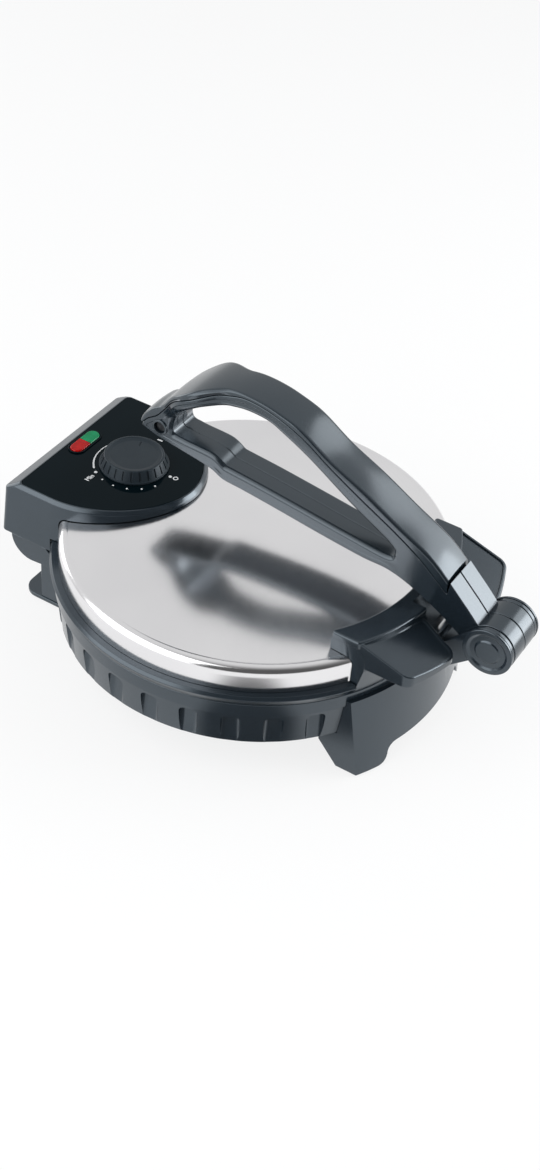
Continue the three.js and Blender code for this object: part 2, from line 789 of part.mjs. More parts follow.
const undersideShares = [
  [0.0832, -0.0115], [0.1456, 0.086], [0.219, 0.175], [0.2886, 0.2263], [0.358, 0.2325],
  [0.472, 0.2635], [0.6076, 0.308], [0.6956, 0.3345], [0.7543, 0.349], [0.7873, 0.386],
  [0.8277, 0.4073], [0.934, 0.45], [0.9707, 0.472], [0.994, 0.496],
];
const handHoleShares = [
  [0.866, 0.747], [0.827, 0.814], [0.787, 0.8487], [0.7506, 0.869], [0.701, 0.887],
  [0.644, 0.876], [0.6, 0.8314], [0.523, 0.734], [0.406, 0.556], [0.296, 0.4055], [0.28, 0.355],
  [0.296, 0.315], [0.4096, 0.3434], [0.523, 0.379], [0.6406, 0.4144], [0.7323, 0.4366],
  [0.78, 0.4765], [0.8167, 0.494], [0.8753, 0.503], [0.9065, 0.5235], [0.903, 0.62],
];
const leverScrewShares = [0.9413, 0.53];
const gripStartShares = [0.7525, 0.603];
const gripEndShares = [0.9505, 0.763];

const leverPoint = ([u, v]) => [pivotY + u * leverLength, pivotZ + v * leverRise];

function smoothLine(shares, steps) {
  const spots = shares.map(leverPoint).map(([y, z]) => new THREE.Vector2(y, z));
  return new THREE.SplineCurve(spots).getPoints(steps).map((spot) => [spot.x, spot.y]);
}

function smoothLoop(shares, steps) {
  const spots = shares.map(leverPoint).map(([y, z]) => new THREE.Vector3(y, z, 0));
  return new THREE.CatmullRomCurve3(spots, true).getPoints(steps).slice(0, -1).map((spot) => [spot.x, spot.y]);
}

const [leverScrewY, leverScrewZ] = leverPoint(leverScrewShares);

// Widens the hand grip on both sides, between its ends and above the lower bar
function spreadGrip(geometry) {
  const [startY, startZ] = leverPoint(gripStartShares);
  const [endY, endZ] = leverPoint(gripEndShares);
  const place = geometry.attributes.position;
  for (let i = 0; i < place.count; i += 1) {
    const x = place.getX(i);
    const along = THREE.MathUtils.clamp((place.getY(i) - startY) / (endY - startY), 0, 1);
    const above = THREE.MathUtils.clamp((place.getZ(i) - startZ) / (endZ - startZ), 0, 1);
    const growth = gripSpread * Math.sin(Math.PI * along) * above;
    if (Math.abs(x) > leverHalfWidth / 2) place.setX(i, x + Math.sign(x) * growth);
  }
  return geometry;
}

function leverBodyOutline() {
  const barrel = arc(pivotY, pivotZ, barrelRadius, barrelTopAngle, barrelSweepAngle, 24);
  return [
    ...smoothLine(seamShares, 30), ...shoulderShares.map(leverPoint), ...barrel,
    ...smoothLine(undersideShares, 20),
  ];
}

function makeLeverHalf(side) {
  const outer = side > 0 ? leverHalfWidth : -leverSeam;
  const inner = side > 0 ? leverSeam : -leverHalfWidth;
  const half = spreadGrip(sidePlate(leverBodyOutline(), inner, outer, [smoothLoop(handHoleShares, 40)]));
  const bore = crossRod(pivotPinRadius + runGap, -bracketOuter, bracketOuter, pivotY, pivotZ);
  const recess = crossRod(leverScrewRecess, -leverHalfWidth - overrun,
    -leverHalfWidth + leverScrewRecessDeep, leverScrewY, leverScrewZ);
  const screwBore = crossRod(screwHole, -leverHalfWidth - overrun, leverScrewReach + screwShank,
    leverScrewY, leverScrewZ);
  return side > 0 ? cut(half, bore, screwBore) : cut(half, bore, screwBore, recess);
}

function makeLeverCover() {
  const lower = smoothLine(seamShares, 30).map(([y, z]) => [y, z + coverLift]);
  const upper = smoothLine(topShares, 30).reverse();
  return spreadGrip(sidePlate([...lower, ...upper], -leverHalfWidth, leverHalfWidth));
}

function makeLeverScrew() {
  const headLeft = -leverHalfWidth + leverScrewRecessDeep - leverScrewHeadTall - seatGap;
  const headRight = headLeft + leverScrewHeadTall;
  const head = crossRod(leverScrewHead, headLeft, headRight, leverScrewY, leverScrewZ);
  const shank = crossRod(screwShank, headRight - screwShank, leverScrewReach, leverScrewY, leverScrewZ);
  return join(head, shank);
}

// Front handle: a band over the dome's edge, a skirt in front of it and two thumb rests
function makeFrontHandle() {
  const band = turned([
    [handleLedgeRadius, ringBottom], [handleFootRadius, ringBottom], [handleSkirtRadius, handleSkirtLow],
    [handleSkirtRadius, handleSkirtTop], [handleFrontRadius, handleTop - handleEdge],
    [handleFrontRadius - handleEdge, handleTop], [handleInnerRadius + handleEdge, handleTop],
    [handleInnerRadius, handleTop - handleEdge], [handleInnerRadius, domeBottom],
    [handleLedgeRadius, domeBottom],
  ]);
  const sector = box(-handleSide, handleSide, -restFront - overrun, 0, tubBottom, handleTop + overrun);
  const domeRoom = turned([
    [0, tubBottom - overrun], [handleLedgeRadius - seatGap, tubBottom - overrun],
    [handleLedgeRadius - seatGap, ringTop], [domeRadius + handleFit, ringTop],
    ...domeOutside(handleFit),
  ]);
  const notch = cut(
    box(-notchSide, notchSide, -handleSkirtRadius - overrun, 0, notchFloor, handleTop + overrun),
    rod(notchRadius, notchFloor - overrun, handleTop + overrun + overrun, 0, 0, roundSteps),
  );
  const restSolid = restOutline(0);
  const restBlock = slab(restSolid, restUnderside, handleTop + overrun);
  const pocket = slab(restOutline(restWall), restUnderside - overrun, restPocketTop);
  const slopeStart = restTopRear + restSlope * restTopRearY;
  const slopeTop = sidePlate([
    [0, slopeStart], [-restFront - overrun, slopeStart - restSlope * (restFront + overrun)],
    [-restFront - overrun, slopeStart + overrun], [0, slopeStart + overrun],
  ], -restFront, restFront);
  const core = rod(handleFrontRadius, restUnderside - overrun - overrun, handleTop + overrun + overrun, 0, 0,
    roundSteps);
  const pocketCore = rod(handleSkirtRadius + restWall, restUnderside - overrun - overrun,
    handleTop + overrun, 0, 0, roundSteps);
  const rest = cut(restBlock, slopeTop, core, cut(pocket, pocketCore));
  const otherRest = toGeometry(rest).rotateZ(Math.PI).scale(1, -1, 1);
  return cut(join(common(band, sector), rest, otherRest), domeRoom, notch);
}

// Plan of the thumb rest on the +X side, shrunk by a wall
function restOutline(inset) {
  const front = restFront - inset;
  const side = restSide - inset;
  const slotFront = restSlotFront + inset;
  const slotRear = restSlotRear + inset;
  const round = restRound - inset;
  const onFront = (x, radius) => -Math.sqrt(radius * radius - x * x);
  const sideCentre = [side - round, onFront(side - round, front - round)];
  const slotCentre = [slotFront + round, onFront(slotFront + round, front - round)];
  const middleShares = [0.25, 0.5, 0.75];
  const between = middleShares.map((share) => {
    const x = slotCentre[0] + (sideCentre[0] - slotCentre[0]) * share;
    return [x, onFront(x, front)];
  });
  const bearing = ([x, y]) => Math.atan2(y, x);
  return [
    [slotRear, -restRootY], [slotRear, -restSlotRearY],
    ...arc(...slotCentre, round, -Math.PI, Math.PI + bearing(slotCentre), 4),
    ...between,
    ...arc(...sideCentre, round, bearing(sideCentre), -bearing(sideCentre), 5),
    [side, -restRootY],
  ];
}

// Plan of panel and housing: straight rear and sides, and a round front
function housingOutline(side, rear, front, round = housingCornerRound) {
  const reach = panelStraight - front;
  const power = 2 / panelCurvePower;
  const curve = [];
  for (let i = 1; i < housingCurveSteps; i += 1) {
    const angle = (Math.PI * i) / housingCurveSteps;
    const across = Math.cos(angle);
    const along = Math.sin(angle);
    curve.push([
      -side * Math.sign(across) * Math.abs(across) ** power,
      panelStraight - reach * Math.abs(along) ** power,
    ]);
  }
  return [
    [-side, panelStraight], ...curve, [side, panelStraight],
    ...arc(side - round, rear - round, round, 0, Math.PI / 2, 3),
    ...arc(round - side, rear - round, round, Math.PI / 2, Math.PI / 2, 3),
  ];
}

// A closed solid through outlines of equal length, stacked at rising heights
function lofted(layers) {
  const count = layers[0].outline.length;
  const positions = layers.flatMap(({ outline, height }) => outline.flatMap(([x, y]) => [x, y, height]));
  const indices = [];
  for (let level = 0; level + 1 < layers.length; level += 1) {
    for (let i = 0; i < count; i += 1) {
      const a = level * count + i;
      const b = level * count + ((i + 1) % count);
      indices.push(a, b, b + count, a, b + count, a + count);
    }
  }
  const capOf = (layer) => THREE.ShapeUtils.triangulateShape(
    layer.outline.map(([x, y]) => new THREE.Vector2(x, y)), [],
  );
  const topStart = (layers.length - 1) * count;
  capOf(layers[0]).forEach(([a, b, c]) => indices.push(c, b, a));
  capOf(layers[layers.length - 1]).forEach(([a, b, c]) => {
    indices.push(topStart + a, topStart + b, topStart + c);
  });
  const geometry = new THREE.BufferGeometry();
  geometry.setAttribute('position', new THREE.Float32BufferAttribute(positions, 3));
  geometry.setIndex(indices);
  return geometry;
}

const pillOutline = (halfLength, halfWidth) => [
  ...arc(halfLength - halfWidth, lensY, halfWidth, -Math.PI / 2, Math.PI, 8),
  ...arc(halfWidth - halfLength, lensY, halfWidth, Math.PI / 2, Math.PI, 8),
];

function makeHousing() {
  const lipSide = panelSide + housingLipGrow;
  const bevelSide = panelSide + housingBevelSide;
  const bevelRear = panelRear + housingBevelRear;
  const footSide = panelSide + housingFootSide;
  const wallDrop = housingBevelLow - housingFootLow;
  const outer = lofted([
    { outline: housingOutline(footSide, bevelRear, panelFront - housingFootFront), height: housingFootLow },
    { outline: housingOutline(bevelSide, bevelRear, panelFront - housingBevelSide), height: housingBevelLow },
    {
      outline: housingOutline(lipSide, panelRear + housingLipGrow, panelFront - housingLipGrow),
      height: panelTop,
    },
  ]);
  const floorLow = panelTop - panelThick - panelFloor - seatGap;
  const inner = lofted([
    {
      outline: housingOutline(footSide - housingWall + (overrun * (footSide - bevelSide)) / wallDrop,
        bevelRear - housingWall, housingCavityFront),
      height: housingFootLow - overrun,
    },
    {
      outline: housingOutline(bevelSide - housingWall, bevelRear - housingWall, housingCavityFront),
      height: housingBevelLow - housingWall,
    },
    {
      outline: housingOutline(bevelSide - housingWall, panelRear, housingCavityFront),
      height: floorLow,
    },
  ]);
  const recess = slab(housingOutline(panelSide + seatGap, panelRear + seatGap, panelFront - seatGap),
    panelTop - panelThick - seatGap, panelTop + overrun);
  const shaftHole = rod(shaftRadius + seatGap + seatGap, floorLow - overrun, panelTop, 0, knobY);
  const lensHole = slab(pillOutline(lensHalfLength + seatGap, lensHalfWidth + seatGap),
    floorLow - overrun, panelTop);
  return cut(outer, inner, recess, shaftHole, lensHole, lidEnvelope(seatGap + seatGap));
}

function makePanel() {
  const plate = slab(housingOutline(panelSide, panelRear, panelFront), panelTop - panelThick, panelTop);
  const shaftHole = rod(shaftRadius + seatGap + seatGap, panelTop - panelThick - overrun, panelTop + overrun,
    0, knobY);
  const lensHole = slab(pillOutline(lensHalfLength + seatGap, lensHalfWidth + seatGap),
    panelTop - panelThick - overrun, panelTop + overrun);
  return cut(plate, shaftHole, lensHole);
}

// A fluted cone with a skirt below and a dished face
function makeKnob() {
  const low = panelTop + seatGap;
  const high = low + knobHeight;
  const fluted = (radius) => {
    const points = [];
    for (let i = 0; i < knobFlutes * 3; i += 1) {
      const deep = i % 3 === 0 ? knobFluteDeep : 0;
      points.push(pointOn(radius - deep, (Math.PI * 2 * i) / (knobFlutes * 3)));
    }
    return points.map(([x, y]) => [x, y + knobY]);
  };
  const body = lofted([
    { outline: fluted(knobBase - knobFluteDeep), height: low + knobSkirtTall / 2 },
    { outline: fluted(knobTop), height: high },
  ]);
  const skirt = turned([
    [0, low], [knobBase, low], [knobBase, low + knobSkirtTall / 2],
    [knobBase - knobFluteDeep, low + knobSkirtTall], [0, low + knobSkirtTall],
  ], 48).translate(0, knobY, 0);
  const dish = turned([
    [0, high - knobDish], [knobDishRadius - knobDish, high - knobDish], [knobDishRadius, high + overrun],
    [0, high + overrun],
  ], 48).translate(0, knobY, 0);
  const bore = rod(shaftRadius + seatGap, low - overrun, low + shaftInKnob + seatGap, 0, knobY);
  return cut(join(body, skirt), dish, bore);
}

function makeThermostat() {
  const top = panelTop - panelThick - panelFloor - seatGap - seatGap;
  const half = thermostatSide / 2;
  const block = box(-half, half, knobY - half, knobY + half, top - thermostatTall, top);
  const bore = rod(shaftRadius + seatGap, top - shaftInThermostat - seatGap, top + overrun, 0, knobY);
  return cut(block, bore);
}

function makeShaft() {
  const top = panelTop - panelThick - panelFloor - seatGap - seatGap;
  return rod(shaftRadius, top - shaftInThermostat, panelTop + seatGap + shaftInKnob, 0, knobY);
}

// Half of the pill-shaped window, with a foot behind the panel
function makeLens(side) {
  const low = panelTop - panelThick - panelFloor - lensFoot;
  const pill = slab(pillOutline(lensHalfLength, lensHalfWidth), low, lensTop);
  const far = lensHalfLength + overrun;
  const keep = box(side > 0 ? lensSeam : -far, side > 0 ? far : -lensSeam, 0, panelRear + overrun,
    low - overrun, lensTop + overrun);
  return common(pill, keep);
}

function makeBezel() {
  const low = panelTop + seatGap;
  const ring = slab(pillOutline(lensHalfLength + seatGap + bezelWall, lensHalfWidth + seatGap + bezelWall),
    low, bezelTop);
  const hole = slab(pillOutline(lensHalfLength + seatGap, lensHalfWidth + seatGap), low - overrun,
    bezelTop + overrun);
  return cut(ring, hole);
}

function makeLamp(side) {
  const high = panelTop - panelThick - panelFloor - lensFoot - seatGap;
  return turned([
    [0, high - lampTall], [lampRadius, high - lampTall], [lampRadius, high - lampRadius / 2],
    [lampRadius / 2, high], [0, high],
  ], smallSteps).translate((side * lensHalfLength) / 2, lensY, 0);
}

// Plate behind the ring that closes the housing's foot, with two ears on the hinge pin
function makeLidHinge() {
  const low = housingFootLow + seatGap;
  const high = low + coverThick + coverThick;
  const side = cheekOuter;
  const rear = panelRear + housingBevelRear - housingWall - seatGap;
  const step = hingeY + hingePlateStep;
  const plate = slab([
    [-side, legFront], [side, legFront], [side, step], [earOuter, step], [earOuter, rear],
    [-earOuter, rear], [-earOuter, step], [-side, step],
  ], low + coverThick, high);
  const ears = [-1, 1].map((direction) => {
    const left = direction > 0 ? earInner : -earOuter;
    const right = direction > 0 ? earOuter : -earInner;
    const boss = crossRod(hingeBoss, left, right, hingeY, hingeZ, 24);
    const neck = box(left, right, hingeY - hingeBoss, hingeY + hingeBoss, hingeZ, high);
    return join(boss, neck);
  });
  const bore = crossRod(hingePinRadius + runGap, -cheekOuter, cheekOuter, hingeY, hingeZ);
  return cut(join(plate, ...ears), bore, lidEnvelope(seatGap));
}

function makeInlet() {
  const flangeFront = crossbarRear + seatGap;
  return turned([
    [inletBore, inletInside], [inletRadius, inletInside], [inletRadius, flangeFront],
    [inletFlange, flangeFront], [inletFlange, flangeFront + inletFlangeThick],
    [inletBore, flangeFront + inletFlangeThick],
  ], 24).rotateX(-Math.PI / 2).translate(0, 0, inletZ);
}

// Base
addPiece('base_tub', makeTub(), 'moulded');
addPiece('bottom_cover', makeBottomCover(), 'moulded');
addPiece('front_stand', makeFrontStand(), 'moulded');
addPiece('rear_bracket', makeRearBracket(), 'moulded');
addPiece('lever_bracket', makeLeverBracket(), 'moulded');
addPiece('front_pad_left', makeFrontPad(-1), 'rubber');
addPiece('front_pad_right', makeFrontPad(1), 'rubber');
addPiece('rear_pad_left', makeRearPad(-1), 'rubber');
addPiece('rear_pad_right', makeRearPad(1), 'rubber');
addPiece('lower_plate', makePlate(lowerPlateBottom, lowerPlateTop, lowerPlateBottom - overrun,
  lowerPlateBottom + plateScrewDepth), 'nonstick');
addPiece('lower_heater', makeHeater(lowerPlateBottom - seatGap - heaterTube), 'heater');
addPiece('lower_reflector', makeReflector(lowerPlateBottom - seatGap, -1), 'zinc');
postAngles.forEach((angle, i) => {
  addPiece(`base_post_${i + 1}`, makePost(angle), 'moulded');
  addPiece(`cover_screw_${i + 1}`, makeCoverScrew(angle), 'zinc');
});
plateScrewAngles.forEach((angle, i) => {
  const lowerHead = tubLedgeTop - tubLedgeThick - seatGap;
  const upperHead = ringTop + seatGap;
  addPiece(`lower_plate_screw_${i + 1}`, makePlateScrew(lowerHead - plateScrewHeadTall, lowerHead,
    lowerPlateBottom + plateScrewDepth - seatGap, angle), 'zinc');
  addPiece(`upper_plate_screw_${i + 1}`, makePlateScrew(upperHead, upperHead + plateScrewHeadTall,
    upperPlateTop - plateScrewDepth + seatGap, angle), 'zinc');
});
addPiece('hinge_pin', crossRod(hingePinRadius, -cheekOuter + pinEndWall + seatGap,
  cheekOuter - pinEndWall - seatGap, hingeY, hingeZ), 'zinc');
addPiece('cord_inlet', makeInlet(), 'rubber');
addPiece('pivot_pin', crossRod(pivotPinRadius, -bracketOuter, bracketOuter, pivotY, pivotZ), 'zinc');
addPiece('pivot_cap_left', makePivotCap(-1), 'moulded');
addPiece('pivot_cap_right', makePivotCap(1), 'moulded');

// Lid
addPiece('lid_ring', makeRing(), 'moulded');
addPiece('steel_dome', makeDome(), 'steel');
addPiece('upper_plate', makePlate(upperPlateBottom, upperPlateTop, upperPlateTop - plateScrewDepth,
  upperPlateTop + overrun), 'nonstick');
addPiece('upper_heater', makeHeater(upperPlateTop + seatGap + heaterTube), 'heater');
addPiece('upper_reflector', makeReflector(upperPlateTop + seatGap, 1), 'zinc');
addPiece('front_handle', makeFrontHandle(), 'moulded');
addPiece('control_housing', makeHousing(), 'moulded');
addPiece('control_panel', makePanel(), 'gloss');
addPiece('lid_hinge', makeLidHinge(), 'moulded');
addPiece('thermostat', makeThermostat(), 'lamp');
addPiece('red_lens', makeLens(-1), 'red');
addPiece('green_lens', makeLens(1), 'green');
addPiece('lens_bezel', makeBezel(), 'gloss');
addPiece('red_lamp', makeLamp(-1), 'lamp');
addPiece('green_lamp', makeLamp(1), 'lamp');

// Knob
addPiece('knob', makeKnob(), 'knob');
addPiece('knob_shaft', makeShaft(), 'zinc');

// Lever
addPiece('lever_left', makeLeverHalf(-1), 'lever');
addPiece('lever_right', makeLeverHalf(1), 'lever');
addPiece('lever_cover', makeLeverCover(), 'lever');
addPiece('lever_screw', makeLeverScrew(), 'zinc');

// The origin lies on the table under the middle of the machine's length
const frontReach = barrelRadius - pivotY;
const rearReach = panelRear + housingBevelRear;
machine.position.y = (frontReach - rearReach) / 2;

export default machine;
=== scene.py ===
# Electric roti maker: the fine pieces, finishes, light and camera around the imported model.
# Places are millimetres from the middle of the cooking plates; at() turns them into metres.
import math
import bpy
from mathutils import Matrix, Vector


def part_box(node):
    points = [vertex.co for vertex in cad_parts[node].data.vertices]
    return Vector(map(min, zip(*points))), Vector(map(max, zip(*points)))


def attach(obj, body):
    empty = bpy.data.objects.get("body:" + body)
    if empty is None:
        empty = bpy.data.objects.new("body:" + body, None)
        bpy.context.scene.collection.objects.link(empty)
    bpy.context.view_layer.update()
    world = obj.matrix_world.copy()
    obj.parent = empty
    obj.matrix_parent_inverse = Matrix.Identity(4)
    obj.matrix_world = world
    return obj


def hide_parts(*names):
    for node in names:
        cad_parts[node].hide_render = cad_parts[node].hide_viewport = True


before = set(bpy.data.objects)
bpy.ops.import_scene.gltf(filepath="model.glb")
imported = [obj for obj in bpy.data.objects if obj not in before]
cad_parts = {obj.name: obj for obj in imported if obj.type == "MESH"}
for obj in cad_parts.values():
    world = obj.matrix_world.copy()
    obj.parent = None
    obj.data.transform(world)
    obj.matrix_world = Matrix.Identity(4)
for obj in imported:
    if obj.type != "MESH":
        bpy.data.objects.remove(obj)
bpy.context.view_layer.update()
print("frame loaded")

mm = 0.001
seatGap = 0.3
overrun = 5
roundSteps = 192
bodyLow = 31.5
quarter = math.pi / 2
plateLow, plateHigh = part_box("lower_plate")
plateMiddleY = (plateLow.y + plateHigh.y) / 2
plateRadius = (plateHigh.x - plateLow.x) / 2 / mm


def at(x, y, z):
    return Vector((x * mm, y * mm + plateMiddleY, z * mm))


def heightOf(node, side):
    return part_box(node)[side].z / mm


# Drawing helpers, each one a few steps of hand modelling

def freshStart():
    if bpy.context.mode != "OBJECT":
        bpy.ops.object.mode_set(mode="OBJECT")
    bpy.ops.object.select_all(action="DESELECT")


def pick(*pieces):
    freshStart()
    for piece in pieces:
        piece.select_set(True)
    bpy.context.view_layer.objects.active = pieces[0]


def editAll():
    bpy.ops.object.mode_set(mode="EDIT")
    bpy.ops.mesh.select_all(action="SELECT")


def named(name):
    # the object that the last step made
    piece = bpy.context.active_object
    piece.name = name
    piece.data.name = name
    return piece


def drawLine(name, points):
    # one corner of a plane is kept and pulled along the points; edit mode stays on
    freshStart()
    bpy.ops.mesh.primitive_plane_add(size=mm, location=(0, 0, 0))
    piece = named(name)
    editAll()
    bpy.ops.mesh.merge(type="CENTER")
    bpy.ops.transform.translate(value=points[0])
    for here, there in zip(points, points[1:]):
        bpy.ops.mesh.extrude_vertices_move(TRANSFORM_OT_translate={"value": there - here})
    return piece


def tidyMesh(threshold=0.002):
    editAll()
    bpy.ops.mesh.remove_doubles(threshold=threshold * mm)
    bpy.ops.mesh.normals_make_consistent(inside=False)
    bpy.ops.object.mode_set(mode="OBJECT")


def pushed(name, points, travel):
    # an outline filled with one face and extruded
    piece = drawLine(name, points)
    bpy.ops.mesh.select_all(action="SELECT")
    bpy.ops.mesh.edge_face_add()
    bpy.ops.mesh.extrude_region_move(TRANSFORM_OT_translate={"value": Vector(travel) * mm})
    tidyMesh()
    return piece


def slab(name, outline, low, high):
    return pushed(name, [at(x, y, low) for x, y in outline], (0, 0, high - low))


def sidePlate(name, outline, left, right):
    return pushed(name, [at(left, y, z) for y, z in outline], (right - left, 0, 0))


def frontPlate(name, outline, front, rear):
    return pushed(name, [at(x, front, z) for x, z in outline], (0, rear - front, 0))


def block(name, left, right, front, rear, low, high):
    return slab(name, [(left, front), (right, front), (right, rear), (left, rear)], low, high)


def spin(piece, profile, steps, centre, axis):
    bpy.ops.mesh.select_all(action="SELECT")
    if profile[0][0] > 0 or profile[-1][0] > 0:
        bpy.ops.mesh.edge_face_add()
        bpy.ops.mesh.delete(type="ONLY_FACE")
        bpy.ops.mesh.select_all(action="SELECT")
    bpy.ops.mesh.spin(steps=steps, angle=2 * math.pi, center=centre, axis=axis)
    tidyMesh()
    return piece


def spun(name, profile, steps=roundSteps, x=0, y=0):
    # a closed profile of radius and height, spun round an upright axis
    piece = drawLine(name, [at(x + radius, y, height) for radius, height in profile])
    return spin(piece, profile, steps, at(x, y, 0), (0, 0, 1))


def spunAcross(name, profile, y, z, steps=64):
    # a closed profile of radius and x, spun round an axis along x
    piece = drawLine(name, [at(across, y, z + radius) for radius, across in profile])
    return spin(piece, profile, steps, at(0, y, z), (1, 0, 0))


def rod(name, radius, low, high, x=0, y=0, steps=48):
    return spun(name, [(0, low), (radius, low), (radius, high), (0, high)], steps, x, y)


def crossRod(name, radius, left, right, y, z):
    return spunAcross(name, [(0, left), (radius, left), (radius, right), (0, right)], y, z, 48)


def skin(name, rings, closedAlong=False):
    # a grid laid over stacked rings of points; open ends are filled
    freshStart()
    around = len(rings[0])
    levels = rings + [rings[0]] if closedAlong else rings
    bpy.ops.mesh.primitive_grid_add(x_subdivisions=around, y_subdivisions=len(levels) - 1, size=mm)
    piece = named(name)
    corners = piece.data.vertices
    for level, ring in enumerate(levels):
        for i in range(around + 1):
            corners[level * (around + 1) + i].co = ring[i % around]
    editAll()
    bpy.ops.mesh.remove_doubles(threshold=0.001 * mm)
    if not closedAlong:
        bpy.ops.mesh.fill_holes(sides=0)
    tidyMesh()
    return piece


def modified(piece, kind, **settings):
    # adds a modifier, sets it and applies it
    pick(piece)
    bpy.ops.object.modifier_add(type=kind)
    change = piece.modifiers[-1]
    for setting, value in settings.items():
        setattr(change, setting, value)
    bpy.ops.object.modifier_apply(modifier=change.name)
    return piece


def combine(first, others, operation):
    # joins the tools into one, then cuts or adds them with a Boolean
    tool = others[0]
    if len(others) > 1:
        pick(*others)
        bpy.ops.object.join()
    modified(first, "BOOLEAN", operation=operation, solver="EXACT", use_self=len(others) > 1, object=tool)
    bpy.data.objects.remove(tool)
    return first


def carved(first, *tools):
    return combine(first, list(tools), "DIFFERENCE")


def added(first, *parts):
    for part in parts:
        combine(first, [part], "UNION")
    return first


def kept(first, tool):
    return combine(first, [tool], "INTERSECT")


def copied(piece, name):
    pick(piece)
    bpy.ops.object.duplicate()
    return named(name)


def turned(piece, angle, centre=at(0, 0, 0)):
    pick(piece)
    editAll()
    bpy.ops.transform.rotate(value=angle, orient_axis="Z", center_override=centre)
    bpy.ops.object.mode_set(mode="OBJECT")
    return piece


def mirroredCopy(piece, name):
    twin = copied(piece, name)
    editAll()
    bpy.ops.transform.resize(value=(-1, 1, 1), center_override=(0, 0, 0))
    bpy.ops.mesh.normals_make_consistent(inside=False)
    bpy.ops.object.mode_set(mode="OBJECT")
    return twin


def trimmed(piece, spot, away):
    # clears what lies past a plane and fills the cut
    pick(piece)
    editAll()
    bpy.ops.mesh.bisect(plane_co=spot, plane_no=away, use_fill=True, clear_outer=True)
    tidyMesh()
    return piece


def rounded(piece, width, segments, angle):
    # bevels the sharp edges
    return modified(piece, "BEVEL", width=width * mm, segments=segments, limit_method="ANGLE",
                    angle_limit=math.radians(angle), use_clamp_overlap=True, miter_outer="MITER_ARC")


def place(piece, body, look, nodes=(), angle=28):
    # smooths a finished piece, gives it its look and sets it on its body
    pick(piece)
    bpy.ops.object.shade_smooth_by_angle(angle=math.radians(angle))
    modified(piece, "WEIGHTED_NORMAL", keep_sharp=True)
    piece.data.materials.clear()
    piece.data.materials.append(materials[look])
    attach(piece, body)
    if nodes:
        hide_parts(*nodes)


# Curves in the plane

def pointOn(radius, angle):
    return radius * math.cos(angle), radius * math.sin(angle)


def arc(centre, radius, start, sweep, steps):
    turns = [start + sweep * i / steps for i in range(steps + 1)]
    return [(centre[0] + radius * math.cos(a), centre[1] + radius * math.sin(a)) for a in turns]


def filleted(points, steps=4):
    # a closed outline; a third value on a point is the radius of its round corner
    result = []
    count = len(points)
    for i, point in enumerate(points):
        corner = Vector(point[:2])
        radius = point[2] if len(point) > 2 else 0
        back = Vector(points[i - 1][:2]) - corner
        ahead = Vector(points[(i + 1) % count][:2]) - corner
        if radius == 0 or back.length == 0 or ahead.length == 0:
            result.append(tuple(corner))
            continue
        half = back.angle(ahead) / 2
        reach = min(radius / math.tan(half), 0.49 * back.length, 0.49 * ahead.length)
        centre = corner + (back.normalized() + ahead.normalized()).normalized() * (reach / math.cos(half))
        first = corner + back.normalized() * reach - centre
        last = corner + ahead.normalized() * reach - centre
        for step in range(steps + 1):
            result.append(tuple(centre + first.slerp(last, step / steps).normalized() * first.length))
    return result


def curveThrough(spots, steps, closed=False):
    # a smooth line through the spots, with the same number of steps between each two
    count = len(spots)
    line = []
    for i in range(count if closed else count - 1):
        if closed:
            a, b, c, d = (Vector(spots[(i + k) % count]) for k in (-1, 0, 1, 2))
        else:
            a, b, c, d = (Vector(spots[max(0, min(count - 1, i + k))]) for k in (-1, 0, 1, 2))
        for step in range(steps):
            t = step / steps
            spot = 0.5 * (2 * b + (c - a) * t + (2 * a - 5 * b + 4 * c - d) * t * t
                          + (3 * b - a - 3 * c + d) * t ** 3)
            line.append(spot)
    if not closed:
        line.append(Vector(spots[-1]))
    return line


def evenly(line, count):
    # the line cut in equal lengths, without its last point
    lengths = [0]
    for here, there in zip(line, line[1:]):
        lengths.append(lengths[-1] + (there - here).length)
    result = []
    spot = 0
    for i in range(count):
        goal = lengths[-1] * i / count
        while lengths[spot + 1] < goal:
            spot += 1
        span = lengths[spot + 1] - lengths[spot]
        share = (goal - lengths[spot]) / span if span else 0
        result.append(line[spot].lerp(line[spot + 1], share))
    return result


# Camera, floor and light

cameraView = {"place": (-0.803485, -0.431434, 0.851077), "turn": (48.89697, -3.84285, -58.12884),
              "lens": 53.78, "sensor": 36}


def makeCamera():
    turn = [math.radians(degrees) for degrees in cameraView["turn"]]
    bpy.ops.object.camera_add(location=cameraView["place"], rotation=turn)
    camera = bpy.context.active_object
    camera.name = "camera"
    camera.data.sensor_fit = "VERTICAL"
    camera.data.sensor_height = cameraView["sensor"]
    camera.data.lens = cameraView["lens"]
    bpy.context.scene.camera = camera


makeCamera()
bpy.context.scene.view_settings.view_transform = "Standard"
print("camera ready")


def newMaterial(name):
    material = bpy.data.materials.new(name)
    material.use_nodes = True
    nodes = material.node_tree.nodes
    return material, nodes, material.node_tree.links, nodes["Principled BSDF"]


def addNode(nodes, kind, values={}, **settings):
    node = nodes.new("ShaderNode" + kind)
    for setting, value in settings.items():
        setattr(node, setting, value)
    for socket, value in values.items():
        node.inputs[socket].default_value = value
    return node


def addNoise(nodes, links, scale, detail=2, stretch=(1, 1, 1), rough=0.5):
    mapping = addNode(nodes, "Mapping", {"Scale": stretch})
    noise = addNode(nodes, "TexNoise", {"Scale": scale, "Detail": detail, "Roughness": rough})
    links.new(addNode(nodes, "TexCoord").outputs["Object"], mapping.inputs["Vector"])
    links.new(mapping.outputs["Vector"], noise.inputs["Vector"])
    return noise.outputs["Fac"]


noiseLow = 0.3
noiseHigh = 0.7


def addSpan(nodes, links, source, low, high):
    # a value that runs from low to high with the noise
    span = addNode(nodes, "MapRange",
                   {"From Min": noiseLow, "From Max": noiseHigh, "To Min": low, "To Max": high})
    links.new(source, span.inputs["Value"])
    return span.outputs["Result"]


